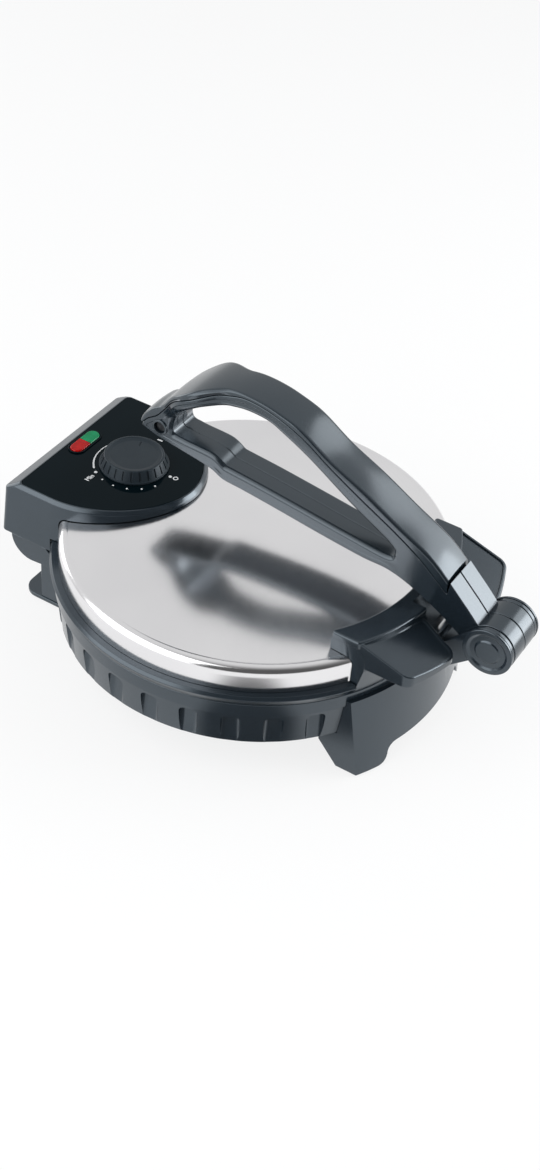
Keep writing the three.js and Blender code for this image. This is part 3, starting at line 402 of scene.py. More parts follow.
def addShades(nodes, links, source, dark, light):
    ramp = addNode(nodes, "ValToRGB")
    for element, position, colour in zip(ramp.color_ramp.elements, (noiseLow, noiseHigh), (dark, light)):
        element.position = position
        element.color = (*colour, 1)
    links.new(source, ramp.inputs["Fac"])
    return ramp.outputs["Color"]


def finish(name, look):
    # colour drifts with a broad noise, gloss and relief follow a fine one
    material, nodes, links, shader = newMaterial(name)
    broad = addNoise(nodes, links, look["drift"], 3)
    fine = addNoise(nodes, links, look["grain"], 3, look.get("stretch", (1, 1, 1)), 0.6)
    links.new(addShades(nodes, links, broad, look["dark"], look["light"]), shader.inputs["Base Color"])
    links.new(addSpan(nodes, links, fine, *look["roughness"]), shader.inputs["Roughness"])
    bump = addNode(nodes, "Bump", {"Strength": look["relief"], "Distance": look["depth"] * mm})
    links.new(fine, bump.inputs["Height"])
    links.new(bump.outputs["Normal"], shader.inputs["Normal"])
    shader.inputs["Metallic"].default_value = look.get("metal", 0)
    shader.inputs["Specular IOR Level"].default_value = look.get("specular", 0.5)
    shader.inputs["Specular Tint"].default_value = (*look.get("tint", (1, 1, 1)), 1)
    return material


looks = {
    "moulded": {"dark": (0.010, 0.0155, 0.021), "light": (0.014, 0.020, 0.027), "drift": 22, "grain": 1400,
                "roughness": (0.17, 0.21), "relief": 0.03, "depth": 0.03, "specular": 0.95,
                "tint": (0.78, 0.9, 1.0)},
    "lever": {"dark": (0.008, 0.013, 0.018), "light": (0.011, 0.017, 0.023), "drift": 18, "grain": 1500,
              "roughness": (0.18, 0.22), "relief": 0.02, "depth": 0.03, "specular": 0.95,
              "tint": (0.8, 0.91, 1.0)},
    "gloss": {"dark": (0.0012, 0.0045, 0.0065), "light": (0.002, 0.006, 0.0085), "drift": 20, "grain": 900,
              "roughness": (0.06, 0.09), "relief": 0.05, "depth": 0.02, "specular": 0.07,
              "tint": (0.7, 0.9, 1.0)},
    "knob": {"dark": (0.012, 0.018, 0.024), "light": (0.017, 0.024, 0.03), "drift": 60, "grain": 2200,
             "roughness": (0.36, 0.44), "relief": 0.2, "depth": 0.05, "specular": 0.3,
             "tint": (0.8, 0.91, 1.0)},
    "steel": {"dark": (0.8, 0.795, 0.81), "light": (0.87, 0.865, 0.875), "drift": 9, "grain": 420,
              "stretch": (0.035, 9, 9), "roughness": (0.13, 0.19), "relief": 0.35, "depth": 0.012,
              "metal": 1},
    "darkScrew": {"dark": (0.02, 0.022, 0.025), "light": (0.04, 0.043, 0.047), "drift": 400, "grain": 2400,
                  "roughness": (0.25, 0.35), "relief": 0.2, "depth": 0.03, "metal": 0.8},
    "coated": {"dark": (0.021, 0.021, 0.023), "light": (0.034, 0.034, 0.037), "drift": 700, "grain": 2600,
               "roughness": (0.42, 0.55), "relief": 0.35, "depth": 0.06, "metal": 0.25},
    "heater": {"dark": (0.19, 0.19, 0.2), "light": (0.3, 0.3, 0.31), "drift": 160, "grain": 1900,
               "roughness": (0.38, 0.52), "relief": 0.3, "depth": 0.05, "metal": 0.9},
    "plated": {"dark": (0.42, 0.43, 0.44), "light": (0.56, 0.57, 0.58), "drift": 240, "grain": 2400,
               "roughness": (0.26, 0.38), "relief": 0.25, "depth": 0.03, "metal": 1},
    "rubber": {"dark": (0.008, 0.009, 0.01), "light": (0.014, 0.015, 0.016), "drift": 300, "grain": 2600,
               "roughness": (0.72, 0.85), "relief": 0.4, "depth": 0.08, "specular": 0.3},
    "ceramic": {"dark": (0.68, 0.65, 0.58), "light": (0.78, 0.76, 0.7), "drift": 180, "grain": 2100,
                "roughness": (0.35, 0.5), "relief": 0.2, "depth": 0.04},
    "red": {"dark": (0.3, 0.001, 0.001), "light": (0.46, 0.003, 0.002), "drift": 260, "grain": 1100,
            "roughness": (0.08, 0.12), "relief": 0.06, "depth": 0.02, "specular": 0.22},
    "green": {"dark": (0.0, 0.17, 0.06), "light": (0.0, 0.26, 0.1), "drift": 260, "grain": 1100,
              "roughness": (0.08, 0.12), "relief": 0.06, "depth": 0.02, "specular": 0.22},
    "lamp": {"dark": (0.6, 0.58, 0.52), "light": (0.76, 0.74, 0.68), "drift": 300, "grain": 1500,
             "roughness": (0.1, 0.2), "relief": 0.05, "depth": 0.02},
    "print": {"dark": (0.7, 0.71, 0.72), "light": (0.84, 0.85, 0.86), "drift": 700, "grain": 3000,
              "roughness": (0.4, 0.5), "relief": 0.1, "depth": 0.01},
}
materials = {name: finish(name, look) for name, look in looks.items()}
print("materials ready")

worldLook = {"fill": 0.45, "tint": (0.95, 0.98, 1.0), "darkSide": (-0.88, -0.47, 0.1), "far": 0.78,
             "near": 0.1, "fallStart": -0.35, "fallEnd": 0.75}
stageLook = {"side": 9, "glow": 0.8, "colour": (0.92, 0.925, 0.93), "lift": 1.02, "wave": 0.6,
             "roughness": 0.9, "specular": 0.1, "mirrorGlow": 0.95, "card": (-0.154, -0.074, 0),
             "cardDark": 0.04, "cardEdge": 0.07, "cardShare": 0.07}


def addMath(nodes, links, operation, first, second):
    # the second value is an output or a number
    step = addNode(nodes, "Math", operation=operation)
    links.new(first, step.inputs[0])
    if isinstance(second, float):
        step.inputs[1].default_value = second
    else:
        links.new(second, step.inputs[1])
    return step.outputs[0]


def addMixShader(nodes, links, share, first, second, output):
    mix = addNode(nodes, "MixShader")
    links.new(share, mix.inputs["Fac"])
    links.new(first.outputs[0], mix.inputs[1])
    links.new(second.outputs[0], mix.inputs[2])
    links.new(mix.outputs[0], output.inputs["Surface"])


def addFade(nodes, links, source, low, high, lowValue, highValue):
    fall = addNode(nodes, "MapRange",
                   {"From Min": low, "From Max": high, "To Min": lowValue, "To Max": highValue},
                   interpolation_type="SMOOTHSTEP")
    links.new(source, fall.inputs["Value"])
    return fall.outputs["Result"]


def makeFloor():
    freshStart()
    bpy.ops.mesh.primitive_plane_add(size=stageLook["side"], location=(0, 0, 0))
    floor = named("floor")
    material, nodes, links, shader = newMaterial("floor_paper")
    tone = stageLook["colour"]
    light = tuple(min(1, c * stageLook["lift"]) for c in tone)
    links.new(addShades(nodes, links, addNoise(nodes, links, stageLook["wave"]), tone, light),
              shader.inputs["Base Color"])
    shader.inputs["Roughness"].default_value = stageLook["roughness"]
    shader.inputs["Specular IOR Level"].default_value = stageLook["specular"]
    rays = addNode(nodes, "LightPath").outputs
    # what is glossy sees a round dark card on the floor
    away = addNode(nodes, "VectorMath", {1: stageLook["card"]}, operation="DISTANCE")
    links.new(addNode(nodes, "TexCoord").outputs["Object"], away.inputs[0])
    rise = addFade(nodes, links, away.outputs["Value"], stageLook["cardDark"], stageLook["cardEdge"],
                   stageLook["cardShare"], 1)
    strength = addNode(nodes, "Mix", {"A": 1})
    links.new(rays["Is Glossy Ray"], strength.inputs["Factor"])
    links.new(rise, strength.inputs["B"])
    glow = addNode(nodes, "Emission")
    links.new(strength.outputs["Result"], glow.inputs["Strength"])
    seen = addMath(nodes, links, "MAXIMUM", rays["Is Camera Ray"], rays["Is Transmission Ray"])
    seen = addMath(nodes, links, "MULTIPLY", seen, stageLook["glow"])
    mirrored = addMath(nodes, links, "MULTIPLY", rays["Is Glossy Ray"], stageLook["mirrorGlow"])
    share = addMath(nodes, links, "MAXIMUM", seen, mirrored)
    addMixShader(nodes, links, share, shader, glow, nodes["Material Output"])
    floor.data.materials.append(material)


def makeWorld():
    world = bpy.data.worlds.new("studio")
    bpy.context.scene.world = world
    world.use_nodes = True
    nodes = world.node_tree.nodes
    links = world.node_tree.links
    nodes.clear()
    fill = addNode(nodes, "Background", {"Color": (*worldLook["tint"], 1), "Strength": worldLook["fill"]})
    white = addNode(nodes, "Background", {"Color": (1, 1, 1, 1)})
    towards = addNode(nodes, "VectorMath", {1: worldLook["darkSide"]}, operation="DOT_PRODUCT")
    links.new(addNode(nodes, "TexCoord").outputs["Generated"], towards.inputs[0])
    fall = addFade(nodes, links, towards.outputs["Value"], worldLook["fallStart"], worldLook["fallEnd"],
                   worldLook["far"], worldLook["near"])
    rays = addNode(nodes, "LightPath").outputs
    bright = addNode(nodes, "Mix", {"B": 1})
    links.new(rays["Is Camera Ray"], bright.inputs["Factor"])
    links.new(fall, bright.inputs["A"])
    links.new(bright.outputs["Result"], white.inputs["Strength"])
    seen = addMath(nodes, links, "MAXIMUM", rays["Is Camera Ray"], rays["Is Glossy Ray"])
    seen = addMath(nodes, links, "MAXIMUM", seen, rays["Is Transmission Ray"])
    addMixShader(nodes, links, seen, fill, white, addNode(nodes, "OutputWorld"))


lamps = {
    "right": {"place": (0.92, -0.92, 0.62), "size": 1.1, "power": 10},
    "left": {"place": (-1.0, 0.65, 0.95), "size": 1.7, "power": 13},
    "low_left": {"place": (-1.35, 0.62, 0.4), "size": 1.6, "power": 10},
    "low_right": {"place": (0.72, -1.25, 0.36), "size": 1.0, "power": 13},
    "rear": {"place": (0.2, 1.4, 0.35), "size": 0.8, "power": 3},
}
lampAim = Vector((0, 0, 0.08))


def makeLamps():
    for name, lamp in lamps.items():
        freshStart()
        bpy.ops.object.light_add(type="AREA", location=lamp["place"])
        light = bpy.context.active_object
        light.name = name + "_light"
        light.data.size = lamp["size"]
        light.data.energy = lamp["power"]
        light.rotation_euler = (Vector(lamp["place"]) - lampAim).to_track_quat("Z", "Y").to_euler()


makeFloor()
makeWorld()
makeLamps()
print("stage ready")

# Steel dome

dome = {"radius": 135, "wall": 0.8, "low": heightOf("steel_dome", 0), "top": heightOf("steel_dome", 1),
        "crown": 7.4, "crownSteps": 18, "shoulder": 7, "shoulderSteps": 16, "square": 0.77, "creaseIn": 0.6,
        "creaseDeep": 0.14, "creaseWide": 1.3, "cutSide": 57, "cutFront": 84}
dome["shoulderTop"] = dome["top"] - dome["crown"]
panel = {"side": 64, "rear": 153, "front": 54, "straight": 125, "power": 1.85, "steps": 64, "top": 108.3,
         "thick": 2, "corner": 4, "floor": 2.6}


def domeOutside(grow):
    # a full, squarish shoulder under a shallow crown
    centre = dome["radius"] - dome["shoulder"]
    reach = dome["shoulder"] + grow
    line = [(dome["radius"] + grow, dome["low"])]
    for across, up in arc((0, 0), 1, 0, quarter, dome["shoulderSteps"]):
        line.append((centre + reach * max(0, across) ** dome["square"],
                     dome["shoulderTop"] - dome["shoulder"] + reach * up ** dome["square"]))
    for i in range(1, dome["crownSteps"]):
        share = 1 - i / dome["crownSteps"]
        line.append((centre * share, dome["top"] - dome["crown"] * share ** 2 + grow))
    return [*line, (0, dome["top"] + grow)]


def housingOutline(side, rear, front):
    # straight rear and sides, and a round front
    reach = panel["straight"] - front
    power = 2 / panel["power"]
    corner = panel["corner"]
    curve = [(-side * math.copysign(abs(across) ** power, across), panel["straight"] - reach * along ** power)
             for across, along in arc((0, 0), 1, 0, math.pi, panel["steps"])[1:-1]]
    return [(-side, panel["straight"]), *curve, (side, panel["straight"]),
            *arc((side - corner, rear - corner), corner, 0, quarter, 6),
            *arc((corner - side, rear - corner), corner, quarter, quarter, 6)]


def makeDome():
    edge = dome["radius"] - dome["shoulder"] - dome["creaseIn"]
    wide = dome["creaseWide"]
    top = dome["shoulderTop"]
    floor = top - dome["creaseDeep"]
    line = domeOutside(0)
    outside = [*[spot for spot in line if spot[0] > edge + wide], (edge + 0.9 * wide, top - 0.08),
               (edge + 0.65 * wide, floor), (edge + 0.35 * wide, floor), (edge, top + 0.02),
               *[spot for spot in line if spot[0] < edge]]
    piece = spun("dome_shell", outside + domeOutside(-dome["wall"])[::-1], 256)
    carved(piece, slab("opening", housingOutline(dome["cutSide"], panel["rear"] + overrun, dome["cutFront"]),
                       dome["low"] - overrun, dome["top"] + overrun))
    place(piece, "lid", "steel", ["steel_dome"], 25)


def lidSpace(name, grow):
    # the room taken by dome and ring, for cutting other lid pieces
    ringTop = dome["low"] - seatGap
    return spun(name, [(0, bodyLow), (ring["outer"] + grow, bodyLow), (ring["outer"] + grow, ringTop + grow),
                       (dome["radius"] + grow, ringTop + grow), *domeOutside(grow)[1:]])


ring = {"inner": plateRadius + 1.3, "outer": 141, "foot": 138.2, "low": 69.3, "widest": 75, "chamfer": 1.6,
        "flange": 117.5, "upstand": 5.5, "upstandWall": 2}
handle = {"side": 71, "top": 112.5, "inner": 120.3, "front": 138.5, "skirt": 142.4, "skirtTop": 100,
          "skirtLow": 90, "foot": 138.2, "ledge": 133.1, "fit": 0.4, "capThick": 6.2, "capRound": 1.6,
          "inset": 0.8, "notchSide": 16, "notchRadius": 128, "notchFloor": 100}


def makeRing():
    top = dome["low"] - seatGap
    upstand = dome["radius"] - dome["wall"] - seatGap
    upstandTop = top + ring["upstand"]
    upstandIn = upstand - ring["upstandWall"]
    flangeLow = heightOf("upper_plate", 1) + seatGap
    piece = spun("ring_shell", filleted([
        (ring["inner"], ring["low"]), (ring["foot"], ring["low"], 0.5), (ring["outer"], ring["widest"], 0.8),
        (ring["outer"] - ring["chamfer"], top, 0.5), (upstand, top), (upstand, upstandTop, 0.4),
        (upstandIn, upstandTop, 0.4), (upstandIn, top), (ring["flange"], top), (ring["flange"], flangeLow),
        (ring["inner"], flangeLow)]))
    side = handle["side"] + seatGap
    room = block("room", -side, side, -ring["outer"] - overrun, 0,
                 ring["low"] - overrun, upstandTop + overrun)
    carved(room, rod("core", handle["ledge"] - seatGap, bodyLow, handle["top"], steps=roundSteps))
    carved(piece, room)
    place(piece, "lid", "moulded", ["lid_ring"], 30)


makeDome()
makeRing()
print("dome and ring made")

# Base tub with its grooves

tub = {"inner": 128.6, "collar": 138, "collarLow": 58, "wallTop": 137, "wallLow": 134.5, "low": bodyLow,
       "top": 69, "ledge": 117.5, "ledgeTop": 63.3, "ledgeThick": 3, "grooveWidth": 13, "grooveTop": 55.5,
       "grooveFloor": 131.8, "grooveFoot": 133.9, "grooveCorner": 4, "grooveRound": 3.6, "edgeRound": 0.45,
       "firstAngle": 40.5, "stepAngle": 11.7, "count": 9}


def makeTub():
    low = tub["low"]
    inner = tub["inner"]
    collar = tub["collar"]
    ledge = tub["ledge"]
    ledgeTop = tub["ledgeTop"]
    ledgeLow = ledgeTop - tub["ledgeThick"]
    piece = spun("tub_shell", filleted([
        (inner, low, 0.4), (tub["wallLow"], low, 1.2), (tub["wallTop"], tub["collarLow"], 0.6),
        (collar, tub["collarLow"], 0.5), (collar, tub["top"], 0.7), (inner, tub["top"], 0.3),
        (inner, ledgeTop), (ledge, ledgeTop, 0.4), (ledge, ledgeLow, 0.4), (inner, ledgeLow)]), 240)
    half = tub["grooveWidth"] / 2
    top = tub["grooveTop"]
    floor = tub["grooveFloor"]
    outline = filleted([(-half, low - overrun), (half, low - overrun), (half, top, tub["grooveCorner"]),
                        (-half, top, tub["grooveCorner"])], 6)
    pocket = trimmed(frontPlate("pocket", outline, -collar - overrun, -floor), at(0, -floor, top),
                     Vector((0, top - low, floor - tub["grooveFoot"])).normalized())
    rounded(pocket, tub["grooveRound"], 5, 60)
    angles = [side * (tub["firstAngle"] + tub["stepAngle"] * i)
              for i in range(tub["count"]) for side in (-1, 1)]
    pockets = [turned(copied(pocket, "pocket_turned"), -math.radians(angle)) for angle in angles]
    bpy.data.objects.remove(pocket)
    carved(piece, *pockets)
    rounded(piece, tub["edgeRound"], 2, 40)
    place(piece, "base", "moulded", ["base_tub"], 30)


def tubRoom():
    # the room taken by the tub, for cutting what is fixed to it
    low = tub["low"] - seatGap
    high = tub["top"] + overrun
    wallTop = tub["collarLow"] - seatGap
    collar = tub["collar"] + seatGap
    return spun("tub_room", [(0, low), (tub["wallLow"] + seatGap, low), (tub["wallTop"] + seatGap, wallTop),
                             (collar, wallTop), (collar, high), (0, high)])


makeTub()
print("tub made")

# Front stand

stand = {"top": 63, "topRadius": 141, "footRadius": 150.4, "edge": 16, "wall": 2.4, "outer": 74, "inner": 50,
         "round": 8, "rearLow": 115, "rearTop": 100, "knee": 19, "sole": 1.8}
bracket = {"outer": 18, "inner": 15, "root": 139, "rootLow": 59, "rootTop": 66, "head": 17}
pivot = {"y": -184.2, "z": 102, "pin": 4, "barrel": 17.3}


def makeStand():
    reach = stand["footRadius"] + overrun
    inner = stand["inner"]
    outer = stand["outer"]
    edge = stand["edge"]
    radius = stand["round"]
    sole = stand["sole"]
    top = stand["top"]
    half = [(inner - radius, edge), *arc((inner - radius, edge - radius), radius, quarter, -quarter, 8)[1:],
            *arc((inner + radius, sole + radius), radius, math.pi, quarter, 8)[1:],
            (outer, sole), (outer, top)]
    outline = [(-x, z) for x, z in reversed(half)] + half
    front = frontPlate("front", outline, -reach, -stand["rearTop"] + overrun)
    cone = spun("cone", [(0, 0), (stand["footRadius"], 0), (stand["topRadius"], top), (0, top)])
    apron = kept(copied(front, "stand_shell"), copied(cone, "cone_copy"))
    footWall = stand["footRadius"] - stand["wall"]
    topWall = stand["topRadius"] - stand["wall"]
    carved(apron, spun("hollow", [(0, -overrun), (footWall, -overrun), (footWall, 0), (topWall, top),
                                  (topWall, top + overrun), (0, top + overrun)]))
    side = [(-reach, sole), (-stand["rearLow"], sole), (-stand["rearTop"], stand["knee"]),
            (-stand["rearTop"], top), (-reach, top)]
    for left, right in ((-outer, -inner), (inner, outer)):
        foot = kept(sidePlate("foot", side, left, right), copied(cone, "cone_copy"))
        added(apron, kept(foot, copied(front, "front_copy")))
    bpy.data.objects.remove(front)
    bpy.data.objects.remove(cone)
    notchSide = bracket["outer"] + seatGap
    carved(apron, block("notch", -notchSide, notchSide, -reach, -bracket["root"] + overrun,
                        bracket["rootLow"] - 2 * seatGap, top + overrun))
    carved(apron, tubRoom())
    rounded(apron, 0.6, 3, 30)
    place(apron, "base", "moulded", ["front_stand"], 30)


makeStand()
print("stand made")

# Control housing, panel, window and knob

housing = {"lip": 0.9, "edgeDrop": 2.6, "edgeSide": 3.1, "edgeRear": 5.2, "bevelSide": 3.6, "bevelRear": 11.2,
           "bevelLow": 102, "footSide": 8, "footFront": 4, "low": heightOf("control_housing", 0), "wall": 2.6,
           "cavityFront": 82}
knob = {"y": 102.5, "base": 24.6, "top": 20.9, "height": 9, "dish": 1.2, "dishRadius": 19.5, "slot": 0.35,
        "flutes": 24, "fluteDeep": 0.9, "fluteWide": 1.3, "fluteLow": 0.4, "fluteHigh": 0.6, "skirt": 1.6,
        "skirtStep": 0.8, "bore": 3.3, "boreDeep": 4.8, "tickAngle": -17, "tickNear": 10.8, "tickFar": 15.8,
        "tickHalf": 0.3, "tickDeep": 0.35}
window = {"y": 145, "halfLength": 14, "halfWidth": 5, "top": 110, "foot": 1, "seam": 0.15, "bezelWall": 1.2,
          "bezelTop": 109.4}
shaftHole = 3.6


def pill(grow=0):
    # the outline of the window, grown by a gap or a wall
    radius = window["halfWidth"] + grow
    reach = window["halfLength"] - window["halfWidth"]
    return [*arc((reach, window["y"]), radius, -quarter, math.pi, 24),
            *arc((-reach, window["y"]), radius, quarter, math.pi, 24)]


def pierced(piece, low, high):
    # holes for the knob's shaft and the window
    carved(piece, rod("shaft_hole", shaftHole, low, high, y=knob["y"]))
    carved(piece, slab("window_hole", pill(seatGap), low, high))


def lofted(name, layers):
    return skin(name, [[at(x, y, height) for x, y in outline] for outline, height in layers])


def makeHousing():
    side = panel["side"]
    rear = panel["rear"]
    front = panel["front"]
    top = panel["top"]
    low = housing["low"]
    lip = housing["lip"]
    edge = housing["edgeSide"]
    wall = housing["wall"]
    cavity = housing["cavityFront"]
    bevelSide = side + housing["bevelSide"]
    bevelRear = rear + housing["bevelRear"]
    footSide = side + housing["footSide"]
    piece = lofted("housing_shell", [
        (housingOutline(footSide, bevelRear, front - housing["footFront"]), low),
        (housingOutline(bevelSide, bevelRear, front - housing["bevelSide"]), housing["bevelLow"]),
        (housingOutline(side + edge, rear + housing["edgeRear"], front - edge), top - housing["edgeDrop"]),
        (housingOutline(side + lip, rear + lip, front - lip), top)])
    rounded(piece, 0.9, 4, 20)
    floor = top - panel["thick"] - panel["floor"] - seatGap
    slant = overrun * (footSide - bevelSide) / (housing["bevelLow"] - low)
    carved(piece, lofted("housing_inside", [
        (housingOutline(footSide - wall + slant, bevelRear - wall, cavity), low - overrun),
        (housingOutline(bevelSide - wall, bevelRear - wall, cavity), housing["bevelLow"] - wall),
        (housingOutline(bevelSide - wall, rear, cavity), floor)]))
    carved(piece, slab("recess", housingOutline(side + seatGap, rear + seatGap, front - seatGap),
                       top - panel["thick"] - seatGap, top + overrun))
    pierced(piece, floor - overrun, top)
    carved(piece, lidSpace("lid_room", 2 * seatGap))
    place(piece, "lid", "moulded", ["control_housing"])


def makePanel():
    top = panel["top"]
    outline = housingOutline(panel["side"], panel["rear"], panel["front"])
    piece = rounded(slab("panel_plate", outline, top - panel["thick"], top), 0.5, 3, 40)
    pierced(piece, top - overrun, top + overrun)
    place(piece, "lid", "gloss", ["control_panel"])


def makeWindow():
    top = panel["top"]
    low = top - panel["thick"] - panel["floor"] - window["foot"]
    for side, colour in ((-1, "red"), (1, "green")):
        name = colour + "_window"
        piece = rounded(slab(name, pill(), low, window["top"]), 1.1, 4, 40)
        trimmed(piece, at(side * window["seam"], 0, 0), (-side, 0, 0))
        place(piece, "lid", colour, [colour + "_lens"])
    bezel = slab("window_frame", pill(seatGap + window["bezelWall"]), top + seatGap, window["bezelTop"])
    carved(bezel, slab("window_hole", pill(seatGap), top - overrun, top + overrun))
    rounded(bezel, 0.35, 3, 40)
    place(bezel, "lid", "gloss", ["lens_bezel"])


def makeKnob():
    low = panel["top"] + seatGap
    high = low + knob["height"]
    foot = low + knob["skirt"]
    boreTop = low + knob["boreDeep"]
    base = knob["base"]
    neck = base - knob["skirtStep"]
    dish = knob["dishRadius"]
    slot = knob["slot"]
    middle = knob["y"]
    centre = at(0, middle, 0)
    piece = spun("knob_cap", filleted([
        (0, boreTop), (knob["bore"], boreTop), (knob["bore"], low), (base, low, 0.4), (base, foot, 0.5),
        (neck, foot, 0.2), (knob["top"], high, 0.9), (dish, high, 0.2), (dish - slot, high - slot, 0.2),
        (dish - 3, high - knob["dish"] * 0.8, 2), (0, high - knob["dish"])]), 144, 0, middle)
    fluteLow = foot + knob["fluteLow"]
    fluteHigh = high - knob["fluteHigh"]
    slope = (neck - knob["top"]) / (high - foot)
    lowFace = middle + neck - slope * (fluteLow - foot)
    highFace = middle + neck - slope * (fluteHigh - foot)
    deep = knob["fluteDeep"]
    half = knob["fluteWide"] / 2
    cutter = sidePlate("flute", [(lowFace - deep, fluteLow), (highFace - deep, fluteHigh),
                                 (highFace + overrun, fluteHigh), (lowFace + overrun, fluteLow)], -half, half)
    rounded(cutter, 0.3, 2, 40)
    count = knob["flutes"]
    flutes = [turned(copied(cutter, "flute_turned"), 2 * math.pi * i / count, centre) for i in range(count)]
    bpy.data.objects.remove(cutter)
    carved(piece, *flutes)
    half = knob["tickHalf"]
    tick = block("tick", knob["tickNear"], knob["tickFar"], middle - half, middle + half,
                 high - knob["dish"] - knob["tickDeep"], high + 1)
    carved(piece, turned(tick, math.radians(knob["tickAngle"]), centre))
    place(piece, "knob", "knob", ["knob"])


marks = {"radius": 28.3, "thick": 0.12, "small": 0.7, "big": 1.2, "letter": 5, "bolder": 0.14,
         "smallAngles": (164.3, 184.5, 205, 225.6, 245.5), "bigAngles": (145.4, 276.8),
         "arcStart": 136, "arcEnd": 66, "arcWide": 1.3, "arcTaper": 0.75, "arcSteps": 28,
         "dashAngle": 2.5, "dashRadius": 33.8, "dashLong": 4, "dashWide": 1.2,
         "labels": {"low_label": ("Min", -30.9, 15.6), "off_label": ("O", 3.9, -32.4)}}


def onDial(radius, degrees, aside=0):
    # a place round the knob, moved aside by a length
    along, up = pointOn(1, math.radians(degrees))
    return along * radius - up * aside, knob["y"] + up * radius + along * aside


def writeLabel(name, text, x, y):
    freshStart()
    bpy.ops.object.text_add(location=at(x, y, panel["top"]))
    label = bpy.context.active_object
    label.name = name
    label.data.body = text
    label.data.size = marks["letter"] * mm
    label.data.align_x = "CENTER"
    label.data.align_y = "CENTER"
    label.data.extrude = marks["thick"] * mm / 2
    label.data.offset = marks["bolder"] * mm
    bpy.ops.object.convert(target="MESH")
    bpy.ops.object.transform_apply(location=True, rotation=True, scale=True)
    tidyMesh()
    return bpy.context.active_object


def makeMarks():
    low = panel["top"]
    high = low + marks["thick"]
    radius = marks["radius"]
    found = []
    for angles, size in ((marks["smallAngles"], marks["small"]), (marks["bigAngles"], marks["big"])):
        for degrees in angles:
            found.append(rod("dot", size, low, high, *onDial(radius, degrees), 20))
    outer = []
    inner = []
    for i in range(marks["arcSteps"] + 1):
        share = i / marks["arcSteps"]
        half = marks["arcWide"] * (1 - marks["arcTaper"] * share) / 2
        degrees = marks["arcStart"] + (marks["arcEnd"] - marks["arcStart"]) * share
        outer.append(onDial(radius + half, degrees))
        inner.append(onDial(radius - half, degrees))
    found.append(slab("arc", outer + inner[::-1], low, high))
    inside = marks["dashRadius"] - marks["dashWide"] / 2
    outside = inside + marks["dashWide"]
    half = marks["dashLong"] / 2
    corners = ((inside, half), (outside, half), (outside, -half), (inside, -half))
    dash = [onDial(reach, marks["dashAngle"], aside) for reach, aside in corners]
    found.append(slab("dash", dash, low, high))
    for name, (text, x, y) in marks["labels"].items():
        found.append(writeLabel(name, text, x, knob["y"] + y))
    pick(*found)
    bpy.ops.object.join()
    place(named("dial_marks"), "lid", "print")


makeHousing()
makePanel()
makeWindow()
makeKnob()
makeMarks()
print("housing, panel and knob made")

# Front handle with its two thumb rests

rest = {"side": 70, "front": 170, "low": 92, "topRear": 111, "topRearY": 121, "slope": 0.2985,
        "slotRear": 18.6, "slotFront": 25, "slotRearY": 141, "round": 8, "wall": 3, "pocketTop": 96.5,
        "root": 105, "dish": 1.1, "rim": 2.0, "floor": 1.8}


def frontAt(x, radius):
    return -math.sqrt(radius * radius - x * x)


def restOutline(inset):
    # plan of the thumb rest on the +X side, shrunk by a wall
    front = rest["front"] - inset
    side = rest["side"] - inset
    slotRear = rest["slotRear"] + inset
    radius = rest["round"] - inset
    sideX = side - radius
    slotX = rest["slotFront"] + inset + radius
    sideY = frontAt(sideX, front - radius)
    slotY = frontAt(slotX, front - radius)
    between = [slotX + (sideX - slotX) * share for share in (0.2, 0.4, 0.6, 0.8)]
    slotAngle = math.atan2(slotY, slotX)
    sideAngle = math.atan2(sideY, sideX)
    return [(slotRear, -rest["root"]), (slotRear, -rest["slotRearY"]),
            *arc((slotX, slotY), radius, -math.pi, math.pi + slotAngle, 8),
            *[(x, frontAt(x, front)) for x in between],
            *arc((sideX, sideY), radius, sideAngle, -sideAngle, 8), (side, -rest["root"])]


def slopeSpace(name, lift):
    start = rest["topRear"] + rest["slope"] * rest["topRearY"] + lift
    far = rest["front"] + overrun
    low = start - rest["slope"] * far
    return sidePlate(name, [(0, start), (-far, low), (-far, start + overrun), (0, start + overrun)],
                     -rest["front"], rest["front"])


